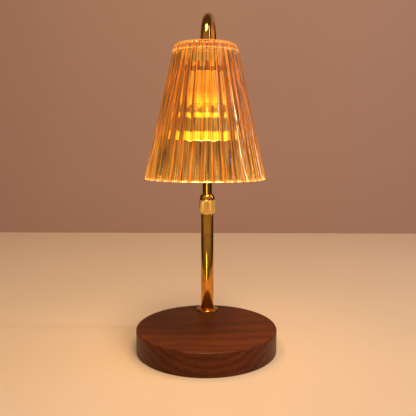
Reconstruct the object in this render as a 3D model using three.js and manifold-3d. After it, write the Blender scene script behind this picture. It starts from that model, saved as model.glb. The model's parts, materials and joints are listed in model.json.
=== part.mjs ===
// A candle warmer: a round wooden base, a telescopic brass post that locks with a knurled nut,
// and a gooseneck that hangs a reeded amber glass shade and a spot bulb over the base.
// Millimetres, +Z up, the front is -Y, and the origin lies under the middle of the base.
import * as THREE from 'three';
import { mergeVertices } from 'three/addons/utils/BufferGeometryUtils.js';
import Module from 'manifold-3d';

const wasm = await Module();
wasm.setup();

// Fits and cutters
const FIT = 0.3;
const CLOSE_FIT = 0.15;
const OVERRUN = 2;
const WELD = 1e-4;

// Sides of round pieces and steps of rounded edges
const DISC_SIDES = 64;
const GLASS_SIDES = 48;
const BODY_SIDES = 28;
const TUBE_SIDES = 20;
const SCREW_SIDES = 12;
const LEAD_SIDES = 8;
const NUT_SIDES = 6;
const ROUND_STEPS = 3;
const BEND_STEPS = 18;
const SET_OVER_STEPS = 8;
const LEAD_STEPS = 16;

// Wooden base and what its underside holds
const BASE_DIAMETER = 140;
const WOOD_THICKNESS = 23.2;
const WOOD_TOP_ROUND = 1.4;
const WOOD_BOTTOM_ROUND = 0.8;
const PAD_THICKNESS = 0.5;
const PAD_INSET = 1;
const POST_TO_EDGE = 16;
const POCKET_DEPTH = 14.5;
const BALLAST_MARGIN = 21;
const BALLAST_THICKNESS = 8;
const BALLAST_SHIFT = 8;
const BALLAST_SCREW_EDGE = 13;
const BALLAST_SCREWS = 3;
const BALLAST_CORNER = 0.8;
const NOTCH_WIDTH = 26;
const NOTCH_DEPTH = 24;
const CHANNEL_WIDTH = 12;

// Wood screws of the ballast and the terminal block
const BALLAST_SCREW = { shank: 3.5, head: 7.2, headHeight: 2.4, bite: 5 };
const TERMINAL_SCREW = { shank: 2.6, head: 5.2, headHeight: 1.8, bite: 4 };

// Terminal block and the leads
const TERMINAL = { width: 20, depth: 14, height: 9, wireBore: 2.8, wirePitch: 10 };
const TERMINAL_SETBACK = 3;
const LEAD_DIAMETER = 4.6;
const LEAD_RUN_HEIGHT = 3.6;
const LEAD_BEND = 5;
const LEAD_TAIL = 1;

// Cord inlet bush in the rear edge
const INLET = { bore: 6.4, sleeve: 8.4, flange: 11.5, flangeThickness: 1.6, height: 6.6 };

// Post: flange, threaded nipple with its washer and nut, and the outer tube
const POST_FLANGE = { diameter: 24, height: 3.2, rim: 1.4, shoulder: 7.4, recess: 0.8 };
const NIPPLE_DIAMETER = 10;
const NIPPLE_BORE = 7;
const NIPPLE_PROUD = 0.9;
const NIPPLE_GRIP = 5.7;
const POST_WASHER = { diameter: 20, thickness: 1.5 };
const POST_NUT = { acrossFlats: 14, height: 4.6 };
const NUT_POCKET_DIAMETER = 23;
const OUTER_TUBE_DIAMETER = 13.4;
const OUTER_TUBE_WALL = 0.6;
const OUTER_TUBE_LENGTH = 110.5;
const FOOT_PLUG_HEIGHT = 6;

// Lock nut with its collet and guide bush
const LOCK_NUT = { diameter: 17.4, height: 14.9, dome: 5.8, domeDiameter: 16.3, mouth: 11.4 };
const LOCK_NUT_CHAMFER = 0.4;
const LOCK_NUT_OVERLAP = 6.6;
const LOCK_NUT_LIP = 1.5;
const COLLET = { length: 10.2, tip: 11.8, taper: 5.4, slit: 1 };
const GUIDE_FLANGE = 1.2;

// Telescope travel and the guide plug at the foot of the gooseneck
const TRAVEL_DOWN = 50;
const TRAVEL_UP = 30;
const STOP_GAP = 0.7;
const FOOT_GAP = 1.4;
const PLUG_HEIGHT = 8;
const PLUG_SPIGOT = 8;

// Gooseneck: one bent tube, whose upper part is set over to the right and whose bend is turned back
const NECK_DIAMETER = 10;
const NECK_WALL = 1;
const NECK_STRAIGHT = 202.1;
const NECK_SET_OVER = 4.7;
const SET_OVER_LENGTH = 91;
const NECK_YAW_DEGREES = -4.6;
const NECK_BEND_RADIUS = 32;
const NECK_BEND_DEGREES = 177.5;
const NECK_LEG = 26.1;
const NECK_PLAY = 0.7;

// Glass shade, measured over the crests of its reeds
const SHADE_HEIGHT = 124.7;
const SHADE_RIM_DIAMETER = 114;
const SHADE_TOP_DIAMETER = 58;
const SHADE_WALL = 4.4;
const SHADE_TOP_THICKNESS = 7.5;
const SHADE_SHOULDER = 6;
const SHADE_INNER_SHOULDER = 3;
const SHADE_RIM_ROUND = 1.2;
const SHADE_ABOVE_BEND_END = 2.8;
const REEDS = 36;
const REED_DEPTH = 1.8;
const REED_TURN_DEGREES = 2.5;
const REED_STEPS = 4;

// Clamping stack on the gooseneck's end, listed from the top down
const TOP_GASKET = { diameter: 17, thickness: 0.8 };
const NECK_FLANGE = { diameter: 18, thickness: 1.2 };
const INNER_GASKET = { diameter: 34, thickness: 0.8 };
const CUP = { diameter: 38, height: 9, wall: 1.2, round: 1.5 };
const CUP_NUT = { acrossFlats: 14, height: 4.6 };
const HOLDER_NUT = { acrossFlats: 14, height: 3 };
const CUP_TO_HOLDER = 8.3;

// Lampholder
const HOLDER = { diameter: 34, height: 29.2, wall: 1.6, top: 2, round: 1 };
const INSERT_THICKNESS = 10.3;
const INSERT_DEPTH = 4.5;
const INSERT_SCREW = { shank: 2.6, head: 5.2, headHeight: 2, edge: 5.1 };
const SLOT_LIP = 3.5;
const SLOT_SLACK_DEGREES = 3;
const CONTACT = { thickness: 0.6, width: 4, edge: 3.6, inner: 3.5, tongue: 3.6 };

// Spot bulb with a twist-lock base
const TWIST_DEGREES = 25;
const PIN_SPACING = 10;
const PIN = { neck: 2.4, head: 4.8, headHeight: 2.6, height: 6.7, root: 2.6 };
const BULB_DIAMETER = 50;
const BULB_LENGTH = 47.4;
const BULB_BASE_PLAY = 1.9;
const BULB_BASE_HEIGHT = 12;
const BULB_SOCKET_DEPTH = 5;
const BULB_SOCKET_WALL = 2;
const BULB_NECK_REACH = 0.6;
const BULB_GLASS = 1.4;
const LENS_THICKNESS = 1.6;
const LENS_RECESS = 0.2;
const CAPSULE = { diameter: 9, length: 27 };

// The reflector's flare as shares of its growth in radius and of its depth
const flareShares = [[0, 0], [0.26, 0.14], [0.5, 0.31], [0.72, 0.53], [0.9, 0.76], [1, 0.93], [1, 1]];

// Heights and places worked out from the sizes above
const WOOD_BOTTOM = PAD_THICKNESS;
const WOOD_TOP = WOOD_BOTTOM + WOOD_THICKNESS;
const CEILING = WOOD_BOTTOM + POCKET_DEPTH;
const BASE_RADIUS = BASE_DIAMETER / 2;
const POST_Y = BASE_RADIUS - POST_TO_EDGE;
const BALLAST_RADIUS = BASE_RADIUS - BALLAST_MARGIN;
const BALLAST_SCREW_RADIUS = BALLAST_RADIUS - BALLAST_SCREW_EDGE;
const POCKET_RADIUS = BALLAST_RADIUS + FIT;
const NOTCH_Y = BALLAST_RADIUS - BALLAST_SHIFT - NOTCH_DEPTH;
const TERMINAL_Y = NOTCH_Y + TERMINAL_SETBACK + TERMINAL.depth / 2;
const NIPPLE_HOLE = NIPPLE_DIAMETER / 2 + FIT;
const FLANGE_BOTTOM = WOOD_TOP - POST_FLANGE.recess;
const TUBE_BOTTOM = FLANGE_BOTTOM + POST_FLANGE.height;
const TUBE_TOP = TUBE_BOTTOM + OUTER_TUBE_LENGTH;
const NIPPLE_TOP = TUBE_BOTTOM + NIPPLE_GRIP;
const WASHER_BOTTOM = CEILING - POST_WASHER.thickness;
const POST_NUT_BOTTOM = WASHER_BOTTOM - POST_NUT.height;
const NIPPLE_BOTTOM = POST_NUT_BOTTOM - NIPPLE_PROUD;
const OUTER_TUBE_BORE = OUTER_TUBE_DIAMETER / 2 - OUTER_TUBE_WALL;
const PLUG_BOTTOM = TUBE_BOTTOM + FOOT_PLUG_HEIGHT + FOOT_GAP + TRAVEL_DOWN;
const NECK_BOTTOM = PLUG_BOTTOM + PLUG_HEIGHT;
const GUIDE_BOTTOM = NECK_BOTTOM + TRAVEL_UP + STOP_GAP;
const GUIDE_TOP = TUBE_TOP + GUIDE_FLANGE;
const LOCK_NUT_BOTTOM = TUBE_TOP - LOCK_NUT_OVERLAP;
const NECK_RADIUS = NECK_DIAMETER / 2;
const NECK_BORE = NECK_RADIUS - NECK_WALL;
const NECK_HOLE = NECK_RADIUS + FIT;
const NECK_LOOSE_HOLE = NECK_RADIUS + NECK_PLAY;
const LEAD_RADIUS = LEAD_DIAMETER / 2;
const BEND_ANGLE = THREE.MathUtils.degToRad(NECK_BEND_DEGREES);
const NECK_YAW = THREE.MathUtils.degToRad(NECK_YAW_DEGREES);
const BEND_BOTTOM = NECK_BOTTOM + NECK_STRAIGHT;

// Heights down the hanging axis, whose zero is the end of the bend
const GLASS_TOP = SHADE_ABOVE_BEND_END;
const GLASS_BOTTOM = GLASS_TOP - SHADE_HEIGHT;
const GLASS_CEILING = GLASS_TOP - SHADE_TOP_THICKNESS;
const GASKET_BOTTOM = GLASS_TOP + FIT;
const NECK_FLANGE_BOTTOM = GASKET_BOTTOM + TOP_GASKET.thickness + FIT;
const INNER_GASKET_TOP = GLASS_CEILING - FIT;
const CUP_TOP = INNER_GASKET_TOP - INNER_GASKET.thickness - FIT;
const CUP_BOTTOM = CUP_TOP - CUP.height;
const CUP_NUT_TOP = CUP_TOP - CUP.wall - FIT;
const HOLDER_TOP = CUP_BOTTOM - CUP_TO_HOLDER;
const HOLDER_NUT_BOTTOM = HOLDER_TOP + FIT;
const HOLDER_CEILING = HOLDER_TOP - HOLDER.top;
const HOLDER_BORE = HOLDER.diameter / 2 - HOLDER.wall;
const INSERT_RADIUS = HOLDER_BORE - FIT;
const INSERT_TOP = HOLDER_TOP - INSERT_DEPTH;
const INSERT_BOTTOM = INSERT_TOP - INSERT_THICKNESS;
const BULB_TOP = INSERT_BOTTOM - FIT;
const BULB_BOTTOM = BULB_TOP - BULB_LENGTH;
const BULB_BASE_BOTTOM = BULB_TOP - BULB_BASE_HEIGHT;
const SOCKET_TOP = BULB_BASE_BOTTOM + BULB_SOCKET_DEPTH;
const BULB_BASE_RADIUS = HOLDER_BORE - BULB_BASE_PLAY;
const BULB_NECK_RADIUS = BULB_BASE_RADIUS - BULB_SOCKET_WALL - FIT;
const PIN_TOP = BULB_TOP + PIN.height;

// Colours and surfaces
const finishes = {
  walnut: { color: 0x4f2a18, roughness: 0.5, metalness: 0 },
  brass: { color: 0xd9a441, roughness: 0.16, metalness: 1 },
  satinBrass: { color: 0xcf9f52, roughness: 0.45, metalness: 1 },
  steel: { color: 0x8f9296, roughness: 0.4, metalness: 1 },
  foam: { color: 0x1d1b1a, roughness: 0.95, metalness: 0 },
  nylon: { color: 0xe6e0d2, roughness: 0.6, metalness: 0 },
  blackPlastic: { color: 0x1b1918, roughness: 0.5, metalness: 0 },
  lead: { color: 0x3a2f28, roughness: 0.6, metalness: 0 },
  silicone: { color: 0xd8cfc0, roughness: 0.7, metalness: 0 },
  amberGlass: { color: 0xe08a3c, roughness: 0.05, metalness: 0, transparent: true, opacity: 0.6 },
  ivory: { color: 0xf0e2c4, roughness: 0.4, metalness: 0 },
  ceramic: { color: 0xf2ede2, roughness: 0.35, metalness: 0 },
  clearGlass: { color: 0xfff1d8, roughness: 0.05, metalness: 0, transparent: true, opacity: 0.5 },
};

// A geometry with shared corners merged and no collapsed faces
function welded(geometry) {
  geometry.deleteAttribute('normal');
  geometry.deleteAttribute('uv');
  const merged = mergeVertices(geometry, WELD);
  const corners = merged.index.array;
  const kept = [];
  for (let i = 0; i < corners.length; i += 3) {
    const [a, b, c] = corners.slice(i, i + 3);
    if (a !== b && b !== c && c !== a) kept.push(a, b, c);
  }
  merged.setIndex(kept);
  merged.computeVertexNormals();
  return merged;
}

// The same solid in the boolean library's own form
function asManifold(geometry) {
  const shape = welded(geometry.clone());
  const vertProperties = new Float32Array(shape.attributes.position.array);
  const triVerts = new Uint32Array(shape.index.array);
  return new wasm.Manifold(new wasm.Mesh({ numProp: 3, vertProperties, triVerts }));
}

function asGeometry(manifold) {
  const mesh = manifold.getMesh();
  const geometry = new THREE.BufferGeometry();
  geometry.setAttribute('position', new THREE.BufferAttribute(new Float32Array(mesh.vertProperties), 3));
  geometry.setIndex(Array.from(mesh.triVerts));
  geometry.computeVertexNormals();
  return geometry;
}

// One solid less each of the cutters
function cut(geometry, ...cutters) {
  let result = asManifold(geometry);
  for (const cutter of cutters) result = result.subtract(asManifold(cutter));
  return asGeometry(result);
}

function join(...geometries) {
  const [first, ...rest] = geometries.map(asManifold);
  return asGeometry(rest.reduce((whole, piece) => whole.add(piece), first));
}

// A solid of revolution about Z from [radius, height] points, anticlockwise in that plane
function turned(profile, sides) {
  const points = profile.map(([radius, height]) => new THREE.Vector2(radius, height));
  return welded(new THREE.LatheGeometry(points, sides).rotateX(Math.PI / 2));
}

// A ring-shaped solid of revolution: its profile closes on itself
function turnedRing(profile, sides) {
  return turned([...profile, profile[0]], sides);
}

function cylinder(radius, bottom, top, sides) {
  return turned([[0, bottom], [radius, bottom], [radius, top], [0, top]], sides);
}

function ring(outer, inner, bottom, top, sides) {
  return turnedRing([[inner, bottom], [outer, bottom], [outer, top], [inner, top]], sides);
}

function box(width, depth, bottom, top) {
  return new THREE.BoxGeometry(width, depth, top - bottom).translate(0, 0, (bottom + top) / 2);
}

// Points of an elliptical arc in a profile, from one angle to another
function arc(centreRadius, centreHeight, reach, rise, from, to) {
  return Array.from({ length: ROUND_STEPS + 1 }, (_, step) => {
    const angle = from + ((to - from) * step) / ROUND_STEPS;
    return [centreRadius + reach * Math.cos(angle), centreHeight + rise * Math.sin(angle)];
  });
}

// A closed solid through rings of points, each anticlockwise seen from the last ring's side
function loft(rings) {
  const sides = rings[0].length;
  const middle = (points) => {
    const sum = points.reduce((total, point) => total.add(point), new THREE.Vector3());
    return sum.divideScalar(points.length);
  };
  const points = rings.flat();
  const firstMiddle = points.push(middle(rings[0])) - 1;
  const lastMiddle = points.push(middle(rings.at(-1))) - 1;
  const lastRing = (rings.length - 1) * sides;
  const index = [];
  for (let side = 0; side < sides; side++) {
    const next = (side + 1) % sides;
    index.push(firstMiddle, next, side, lastMiddle, lastRing + side, lastRing + next);
    for (let low = 0; low < lastRing; low += sides) {
      const high = low + sides;
      index.push(low + side, low + next, high + next, low + side, high + next, high + side);
    }
  }
  const geometry = new THREE.BufferGeometry().setFromPoints(points);
  geometry.setIndex(index);
  return geometry;
}

// A round rod through stations, each a point with the direction of travel, never along X
function rod(stations, radius, sides) {
  const right = new THREE.Vector3(1, 0, 0);
  return loft(stations.map(({ point, tangent }) => {
    const inward = tangent.clone().cross(right).normalize();
    const across = inward.clone().cross(tangent);
    return Array.from({ length: sides }, (_, side) => {
      const angle = (2 * Math.PI * side) / sides;
      return point.clone()
        .addScaledVector(across, radius * Math.cos(angle))
        .addScaledVector(inward, radius * Math.sin(angle));
    });
  }));
}

function hexNut({ acrossFlats, height }, bore, bottom) {
  const corner = acrossFlats / 2 / Math.cos(Math.PI / NUT_SIDES);
  return cut(
    cylinder(corner, bottom, bottom + height, NUT_SIDES),
    cylinder(bore, bottom - OVERRUN, bottom + height + OVERRUN, TUBE_SIDES),
  );
}

// A pan-head screw that points up, with its head's flat face at the given height
function screw({ shank, head, headHeight }, seat, tip) {
  return turned([
    [0, seat - headHeight],
    [(head + shank) / 4, seat - headHeight],
    [head / 2, seat - headHeight / 2],
    [head / 2, seat],
    [shank / 2, seat],
    [shank / 2, tip - shank / 2],
    [0, tip],
  ], SCREW_SIDES);
}

// Adds one named piece to a group
function add(group, name, geometry, finish) {
  const mesh = new THREE.Mesh(geometry, new THREE.MeshStandardMaterial(finishes[finish]));
  mesh.name = name;
  group.add(mesh);
}

// Places of the ballast screws about the base's axis
function ballastScrewPlaces() {
  return Array.from({ length: BALLAST_SCREWS }, (_, count) => {
    const angle = (2 * Math.PI * count) / BALLAST_SCREWS - Math.PI / 2;
    return [BALLAST_SCREW_RADIUS * Math.cos(angle), BALLAST_SCREW_RADIUS * Math.sin(angle) - BALLAST_SHIFT];
  });
}

// The disc of wood: pockets below, the post's hole and recess, and the cord's hole at the rear
function woodBase() {
  const blank = turned([
    [0, WOOD_BOTTOM],
    ...arc(BASE_RADIUS - WOOD_BOTTOM_ROUND, WOOD_BOTTOM + WOOD_BOTTOM_ROUND,
      WOOD_BOTTOM_ROUND, WOOD_BOTTOM_ROUND, -Math.PI / 2, 0),
    ...arc(BASE_RADIUS - WOOD_TOP_ROUND, WOOD_TOP - WOOD_TOP_ROUND,
      WOOD_TOP_ROUND, WOOD_TOP_ROUND, 0, Math.PI / 2),
    [0, WOOD_TOP],
  ], DISC_SIDES);
  const below = WOOD_BOTTOM - OVERRUN;
  const above = WOOD_TOP + OVERRUN;
  const ballastPocket = cylinder(POCKET_RADIUS, below, CEILING, DISC_SIDES).translate(0, -BALLAST_SHIFT, 0);
  const nutPocket = cylinder(NUT_POCKET_DIAMETER / 2, below, CEILING, BODY_SIDES).translate(0, POST_Y, 0);
  const channel = box(CHANNEL_WIDTH, POST_Y - NOTCH_Y, below, CEILING)
    .translate(0, (POST_Y + NOTCH_Y) / 2, 0);
  const postHole = cylinder(NIPPLE_HOLE, below, above, TUBE_SIDES).translate(0, POST_Y, 0);
  const flangeRecess = cylinder(POST_FLANGE.diameter / 2 + FIT, FLANGE_BOTTOM, above, BODY_SIDES)
    .translate(0, POST_Y, 0);
  const cordHole = inletBore(INLET.sleeve / 2 + FIT);
  const ballastHoles = ballastScrewPlaces().map(([x, y]) =>
    pilotHole(BALLAST_SCREW).translate(x, y, 0));
  const terminalHole = pilotHole(TERMINAL_SCREW).translate(0, TERMINAL_Y, 0);
  return cut(blank, ballastPocket, nutPocket, channel, postHole, flangeRecess, cordHole,
    ...ballastHoles, terminalHole);
}

// A blind hole in the pockets' ceiling for a wood screw
function pilotHole({ shank, bite }) {
  return cylinder(shank / 2 + FIT, CEILING - OVERRUN, CEILING + bite + FIT, SCREW_SIDES);
}

// A bore through the rear wall of the nut pocket
function inletBore(radius) {
  return cylinder(radius, POST_Y, BASE_RADIUS + OVERRUN, TUBE_SIDES)
    .rotateX(-Math.PI / 2)
    .translate(0, 0, INLET.height);
}

// A steel disc with a notch at the rear for the terminal block
function ballastPlate() {
  const bottom = CEILING - BALLAST_THICKNESS;
  const disc = turned([
    [0, bottom],
    [BALLAST_RADIUS - BALLAST_CORNER, bottom],
    [BALLAST_RADIUS, bottom + BALLAST_CORNER],
    [BALLAST_RADIUS, CEILING],
    [0, CEILING],
  ], DISC_SIDES).translate(0, -BALLAST_SHIFT, 0);
  const notch = box(NOTCH_WIDTH, 2 * NOTCH_DEPTH, bottom - OVERRUN, CEILING + OVERRUN)
    .translate(0, NOTCH_Y + NOTCH_DEPTH, 0);
  const holes = ballastScrewPlaces().map(([x, y]) =>
    cylinder(BALLAST_SCREW.shank / 2 + FIT, bottom - OVERRUN, CEILING + OVERRUN, SCREW_SIDES)
      .translate(x, y, 0));
  return cut(disc, notch, ...holes);
}

// A plastic connector block with two wire bores and a hole for its screw
function terminalBlock() {
  const bottom = CEILING - TERMINAL.height;
  const wireBores = [-1, 1].map((side) =>
    cylinder(TERMINAL.wireBore / 2, -TERMINAL.depth, TERMINAL.depth, SCREW_SIDES)
      .rotateX(Math.PI / 2)
      .translate((side * TERMINAL.wirePitch) / 2, 0, bottom + TERMINAL.height / 3));
  return cut(
    box(TERMINAL.width, TERMINAL.depth, bottom, CEILING),
    ...wireBores,
    cylinder(TERMINAL_SCREW.shank / 2 + FIT, bottom - OVERRUN, CEILING + OVERRUN, SCREW_SIDES),
  ).translate(0, TERMINAL_Y, 0);
}

// The lead from the terminal block, under the nut and up the nipple
function footLead() {
  const start = TERMINAL_Y + TERMINAL.depth / 2 + FIT;
  const runHeight = WOOD_BOTTOM + LEAD_RUN_HEIGHT;
  const startHeight = CEILING - TERMINAL.height / 2;
  const route = [
    [start, startHeight],
    [start + LEAD_RADIUS, startHeight],
    [POST_Y - 2 * LEAD_BEND, runHeight],
    [POST_Y - LEAD_BEND, runHeight],
    [POST_Y - LEAD_BEND * (1 - Math.SQRT1_2), runHeight + LEAD_BEND * (1 - Math.SQRT1_2)],
    [POST_Y, runHeight + LEAD_BEND],
    [POST_Y, NIPPLE_TOP - LEAD_TAIL],
  ];
  const curve = new THREE.CatmullRomCurve3(
    route.map(([y, z]) => new THREE.Vector3(0, y, z)), false, 'centripetal');
  const stations = Array.from({ length: LEAD_STEPS + 1 }, (_, step) => ({
    point: curve.getPoint(step / LEAD_STEPS),
    tangent: curve.getTangent(step / LEAD_STEPS),
  }));
  return rod(stations, LEAD_RADIUS, LEAD_SIDES);
}

// A flanged bush that lines the cord's hole
function cordInletBush() {
  const inner = POST_Y + NUT_POCKET_DIAMETER / 2;
  const flange = BASE_RADIUS + INLET.flangeThickness;
  return turnedRing([
    [INLET.bore / 2, inner],
    [INLET.sleeve / 2, inner],
    [INLET.sleeve / 2, BASE_RADIUS],
    [INLET.flange / 2, BASE_RADIUS],
    [INLET.flange / 2, flange - INLET.flangeThickness / 2],
    [(INLET.flange + INLET.bore) / 4, flange],
    [INLET.bore / 2, flange],
  ], TUBE_SIDES).rotateX(-Math.PI / 2).translate(0, 0, INLET.height);
}

function makeBase() {
  const base = new THREE.Group();
  add(base, 'wood_base', woodBase(), 'walnut');
  add(base, 'foot_pad', cylinder(BASE_RADIUS - PAD_INSET, 0, PAD_THICKNESS, DISC_SIDES), 'foam');
  add(base, 'ballast_plate', ballastPlate(), 'steel');
  ballastScrewPlaces().forEach(([x, y], place) => {
    const seat = CEILING - BALLAST_THICKNESS;
    const geometry = screw(BALLAST_SCREW, seat, CEILING + BALLAST_SCREW.bite).translate(x, y, 0);
    add(base, `ballast_screw_${place + 1}`, geometry, 'steel');
  });
  add(base, 'terminal_block', terminalBlock(), 'ceramic');
  const terminalScrew = screw(TERMINAL_SCREW, CEILING - TERMINAL.height, CEILING + TERMINAL_SCREW.bite);
  add(base, 'terminal_screw', terminalScrew.translate(0, TERMINAL_Y, 0), 'steel');
  add(base, 'foot_lead', footLead(), 'lead');
  add(base, 'cord_inlet_bush', cordInletBush(), 'blackPlastic');
  return base;
}

// The domed ring that covers the post's hole
function postFlange() {
  const { diameter, height, rim, shoulder } = POST_FLANGE;
  const edge = diameter / 2;
  return turnedRing([
    [NIPPLE_HOLE, 0],
    [edge, 0],
    ...arc(shoulder, rim, edge - shoulder, height - rim, 0, Math.PI / 2),
    [NIPPLE_HOLE, height],
  ], BODY_SIDES).translate(0, 0, FLANGE_BOTTOM);
}

// The outer tube with the threaded plug brazed in its foot
function outerTube() {
  const outer = OUTER_TUBE_DIAMETER / 2;
  const plugTop = TUBE_BOTTOM + FOOT_PLUG_HEIGHT;
  return turnedRing([
    [NIPPLE_HOLE, TUBE_BOTTOM],
    [outer, TUBE_BOTTOM],
    [outer, TUBE_TOP],
    [OUTER_TUBE_BORE, TUBE_TOP],
    [OUTER_TUBE_BORE, plugTop],
    [NIPPLE_HOLE, plugTop],
  ], TUBE_SIDES);
}

// The flanged bush in the outer tube's mouth
function guideBush() {
  const bore = NECK_RADIUS + CLOSE_FIT;
  const sleeve = OUTER_TUBE_BORE - CLOSE_FIT;
  const flange = OUTER_TUBE_DIAMETER / 2;
  return turnedRing([
    [bore, GUIDE_BOTTOM],
    [sleeve, GUIDE_BOTTOM],
    [sleeve, TUBE_TOP],
    [flange, TUBE_TOP],
    [flange, GUIDE_TOP],
    [bore, GUIDE_TOP],
  ], TUBE_SIDES);
}

// The split ring that the lock nut's cone closes on the gooseneck
function clampCollet() {
  const bore = NECK_RADIUS + CLOSE_FIT;
  const top = GUIDE_TOP + COLLET.length;
  const foot = OUTER_TUBE_DIAMETER / 2;
  const body = turnedRing([
    [bore, GUIDE_TOP],
    [foot, GUIDE_TOP],
    [foot, top - COLLET.taper],
    [COLLET.tip / 2, top],
    [bore, top],
  ], TUBE_SIDES);
  const slit = box(COLLET.slit, OUTER_TUBE_DIAMETER, GUIDE_TOP - OVERRUN, top + OVERRUN)
    .translate(0, OUTER_TUBE_DIAMETER / 2, 0);
  return cut(body, slit);
}

// The nut: a plain grip, a polished dome and a cone inside that follows the collet
function lockNut() {
  const grip = LOCK_NUT.diameter / 2;
  const dome = LOCK_NUT.domeDiameter / 2;
  const mouth = LOCK_NUT.mouth / 2;
  const gripTop = LOCK_NUT_BOTTOM + LOCK_NUT.height;
  const top = gripTop + LOCK_NUT.dome;
  const thread = OUTER_TUBE_DIAMETER / 2 + FIT;
  const colletTop = GUIDE_TOP + COLLET.length;
  return turnedRing([
    [thread, LOCK_NUT_BOTTOM],
    [grip - LOCK_NUT_CHAMFER, LOCK_NUT_BOTTOM],
    [grip, LOCK_NUT_BOTTOM + LOCK_NUT_CHAMFER],
    [grip, gripTop - LOCK_NUT_CHAMFER],
    [grip - LOCK_NUT_CHAMFER, gripTop],
    ...arc(mouth, gripTop, dome - mouth, LOCK_NUT.dome, 0, Math.PI / 2),
    [NECK_HOLE, top],
    [NECK_HOLE, top - LOCK_NUT_LIP],
    [COLLET.tip / 2 + FIT, top - LOCK_NUT_LIP],
    [thread, colletTop - COLLET.taper],
  ], BODY_SIDES);
}

function makePost() {
  const post = new THREE.Group();
  post.position.set(0, POST_Y, 0);
  const washer = ring(POST_WASHER.diameter / 2, NIPPLE_HOLE, WASHER_BOTTOM, CEILING, TUBE_SIDES);
  const nipple = ring(NIPPLE_DIAMETER / 2, NIPPLE_BORE / 2, NIPPLE_BOTTOM, NIPPLE_TOP, TUBE_SIDES);
  add(post, 'post_flange', postFlange(), 'brass');
  add(post, 'threaded_nipple', nipple, 'steel');
  add(post, 'post_washer', washer, 'steel');
  add(post, 'post_nut', hexNut(POST_NUT, NIPPLE_HOLE, POST_NUT_BOTTOM), 'steel');
  add(post, 'outer_tube', outerTube(), 'brass');
  add(post, 'guide_bush', guideBush(), 'nylon');
  add(post, 'clamp_collet', clampCollet(), 'nylon');
  add(post, 'lock_nut', lockNut(), 'satinBrass');
  return post;
}

// The plug that guides the gooseneck's foot in the outer tube and lets it turn
function guidePlug() {
  const bore = LEAD_RADIUS + FIT;
  const guide = OUTER_TUBE_BORE - FIT;
  const spigot = NECK_BORE - FIT;
  return turnedRing([
    [bore, PLUG_BOTTOM],
    [guide, PLUG_BOTTOM],
    [guide, NECK_BOTTOM],
    [spigot, NECK_BOTTOM],
    [spigot, NECK_BOTTOM + PLUG_SPIGOT],
    [bore, NECK_BOTTOM + PLUG_SPIGOT],
  ], TUBE_SIDES);
}

// A point on the gooseneck's bend, with the direction of travel there
function bendStation(angle) {
  const up = new THREE.Vector3(0, 0, 1);
  const point = new THREE.Vector3(0, Math.cos(angle) - 1, Math.sin(angle)).multiplyScalar(NECK_BEND_RADIUS);
  return {
    point: point.applyAxisAngle(up, NECK_YAW).add(new THREE.Vector3(NECK_SET_OVER, 0, BEND_BOTTOM)),
    tangent: new THREE.Vector3(0, -Math.sin(angle), Math.cos(angle)).applyAxisAngle(up, NECK_YAW),
  };
}

// A point on the smooth set-over under the bend, at a share of its length
function setOverStation(share) {
  const sideways = NECK_SET_OVER * share ** 2 * (3 - 2 * share);
  const slope = (6 * NECK_SET_OVER * share * (1 - share)) / SET_OVER_LENGTH;
  return {
    point: new THREE.Vector3(sideways, 0, BEND_BOTTOM - (1 - share) * SET_OVER_LENGTH),
    tangent: new THREE.Vector3(slope, 0, 1).normalize(),
  };
}

// Stations up the straight and the set-over, round the bend and down the leg
function neckStations(bottom, leg) {
  const setOver = Array.from({ length: SET_OVER_STEPS }, (_, step) => setOverStation(step / SET_OVER_STEPS));
  const bend = Array.from({ length: BEND_STEPS + 1 }, (_, step) =>
    bendStation((BEND_ANGLE * step) / BEND_STEPS));
  const end = bend.at(-1);
  return [
    { point: new THREE.Vector3(0, 0, bottom), tangent: new THREE.Vector3(0, 0, 1) },
    ...setOver,
    ...bend,
    { point: end.point.clone().addScaledVector(end.tangent, leg), tangent: end.tangent },
  ];
}

function neckTube() {
  const outside = rod(neckStations(NECK_BOTTOM, NECK_LEG), NECK_RADIUS, TUBE_SIDES);
  const inside = rod(neckStations(NECK_BOTTOM - OVERRUN, NECK_LEG + OVERRUN), NECK_BORE, TUBE_SIDES);
  return cut(outside, inside);
}

// A ring of points round the reeds, each reed a round ridge; higher up they are narrower and shallower
function reededRing(crest, height) {
  const depth = REED_DEPTH * Math.sqrt(crest / (SHADE_RIM_DIAMETER / 2));
  const halfWidth = crest * Math.sin(Math.PI / REEDS);
  const ridge = (halfWidth ** 2 + depth ** 2) / (2 * depth);
  const ridgeCentre = crest - ridge;
  const turn = THREE.MathUtils.degToRad(REED_TURN_DEGREES);
  return Array.from({ length: REEDS * REED_STEPS }, (_, step) => {
    const angle = turn + (2 * Math.PI * step) / (REEDS * REED_STEPS);
    const local = (((step % REED_STEPS) / REED_STEPS - 1 / 2) * 2 * Math.PI) / REEDS;
    const reach = Math.sqrt(ridge ** 2 - (ridgeCentre * Math.sin(local)) ** 2);
    const radius = ridgeCentre * Math.cos(local) + reach;
    return new THREE.Vector3(radius * Math.cos(angle), radius * Math.sin(angle), height);
  });
}

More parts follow.
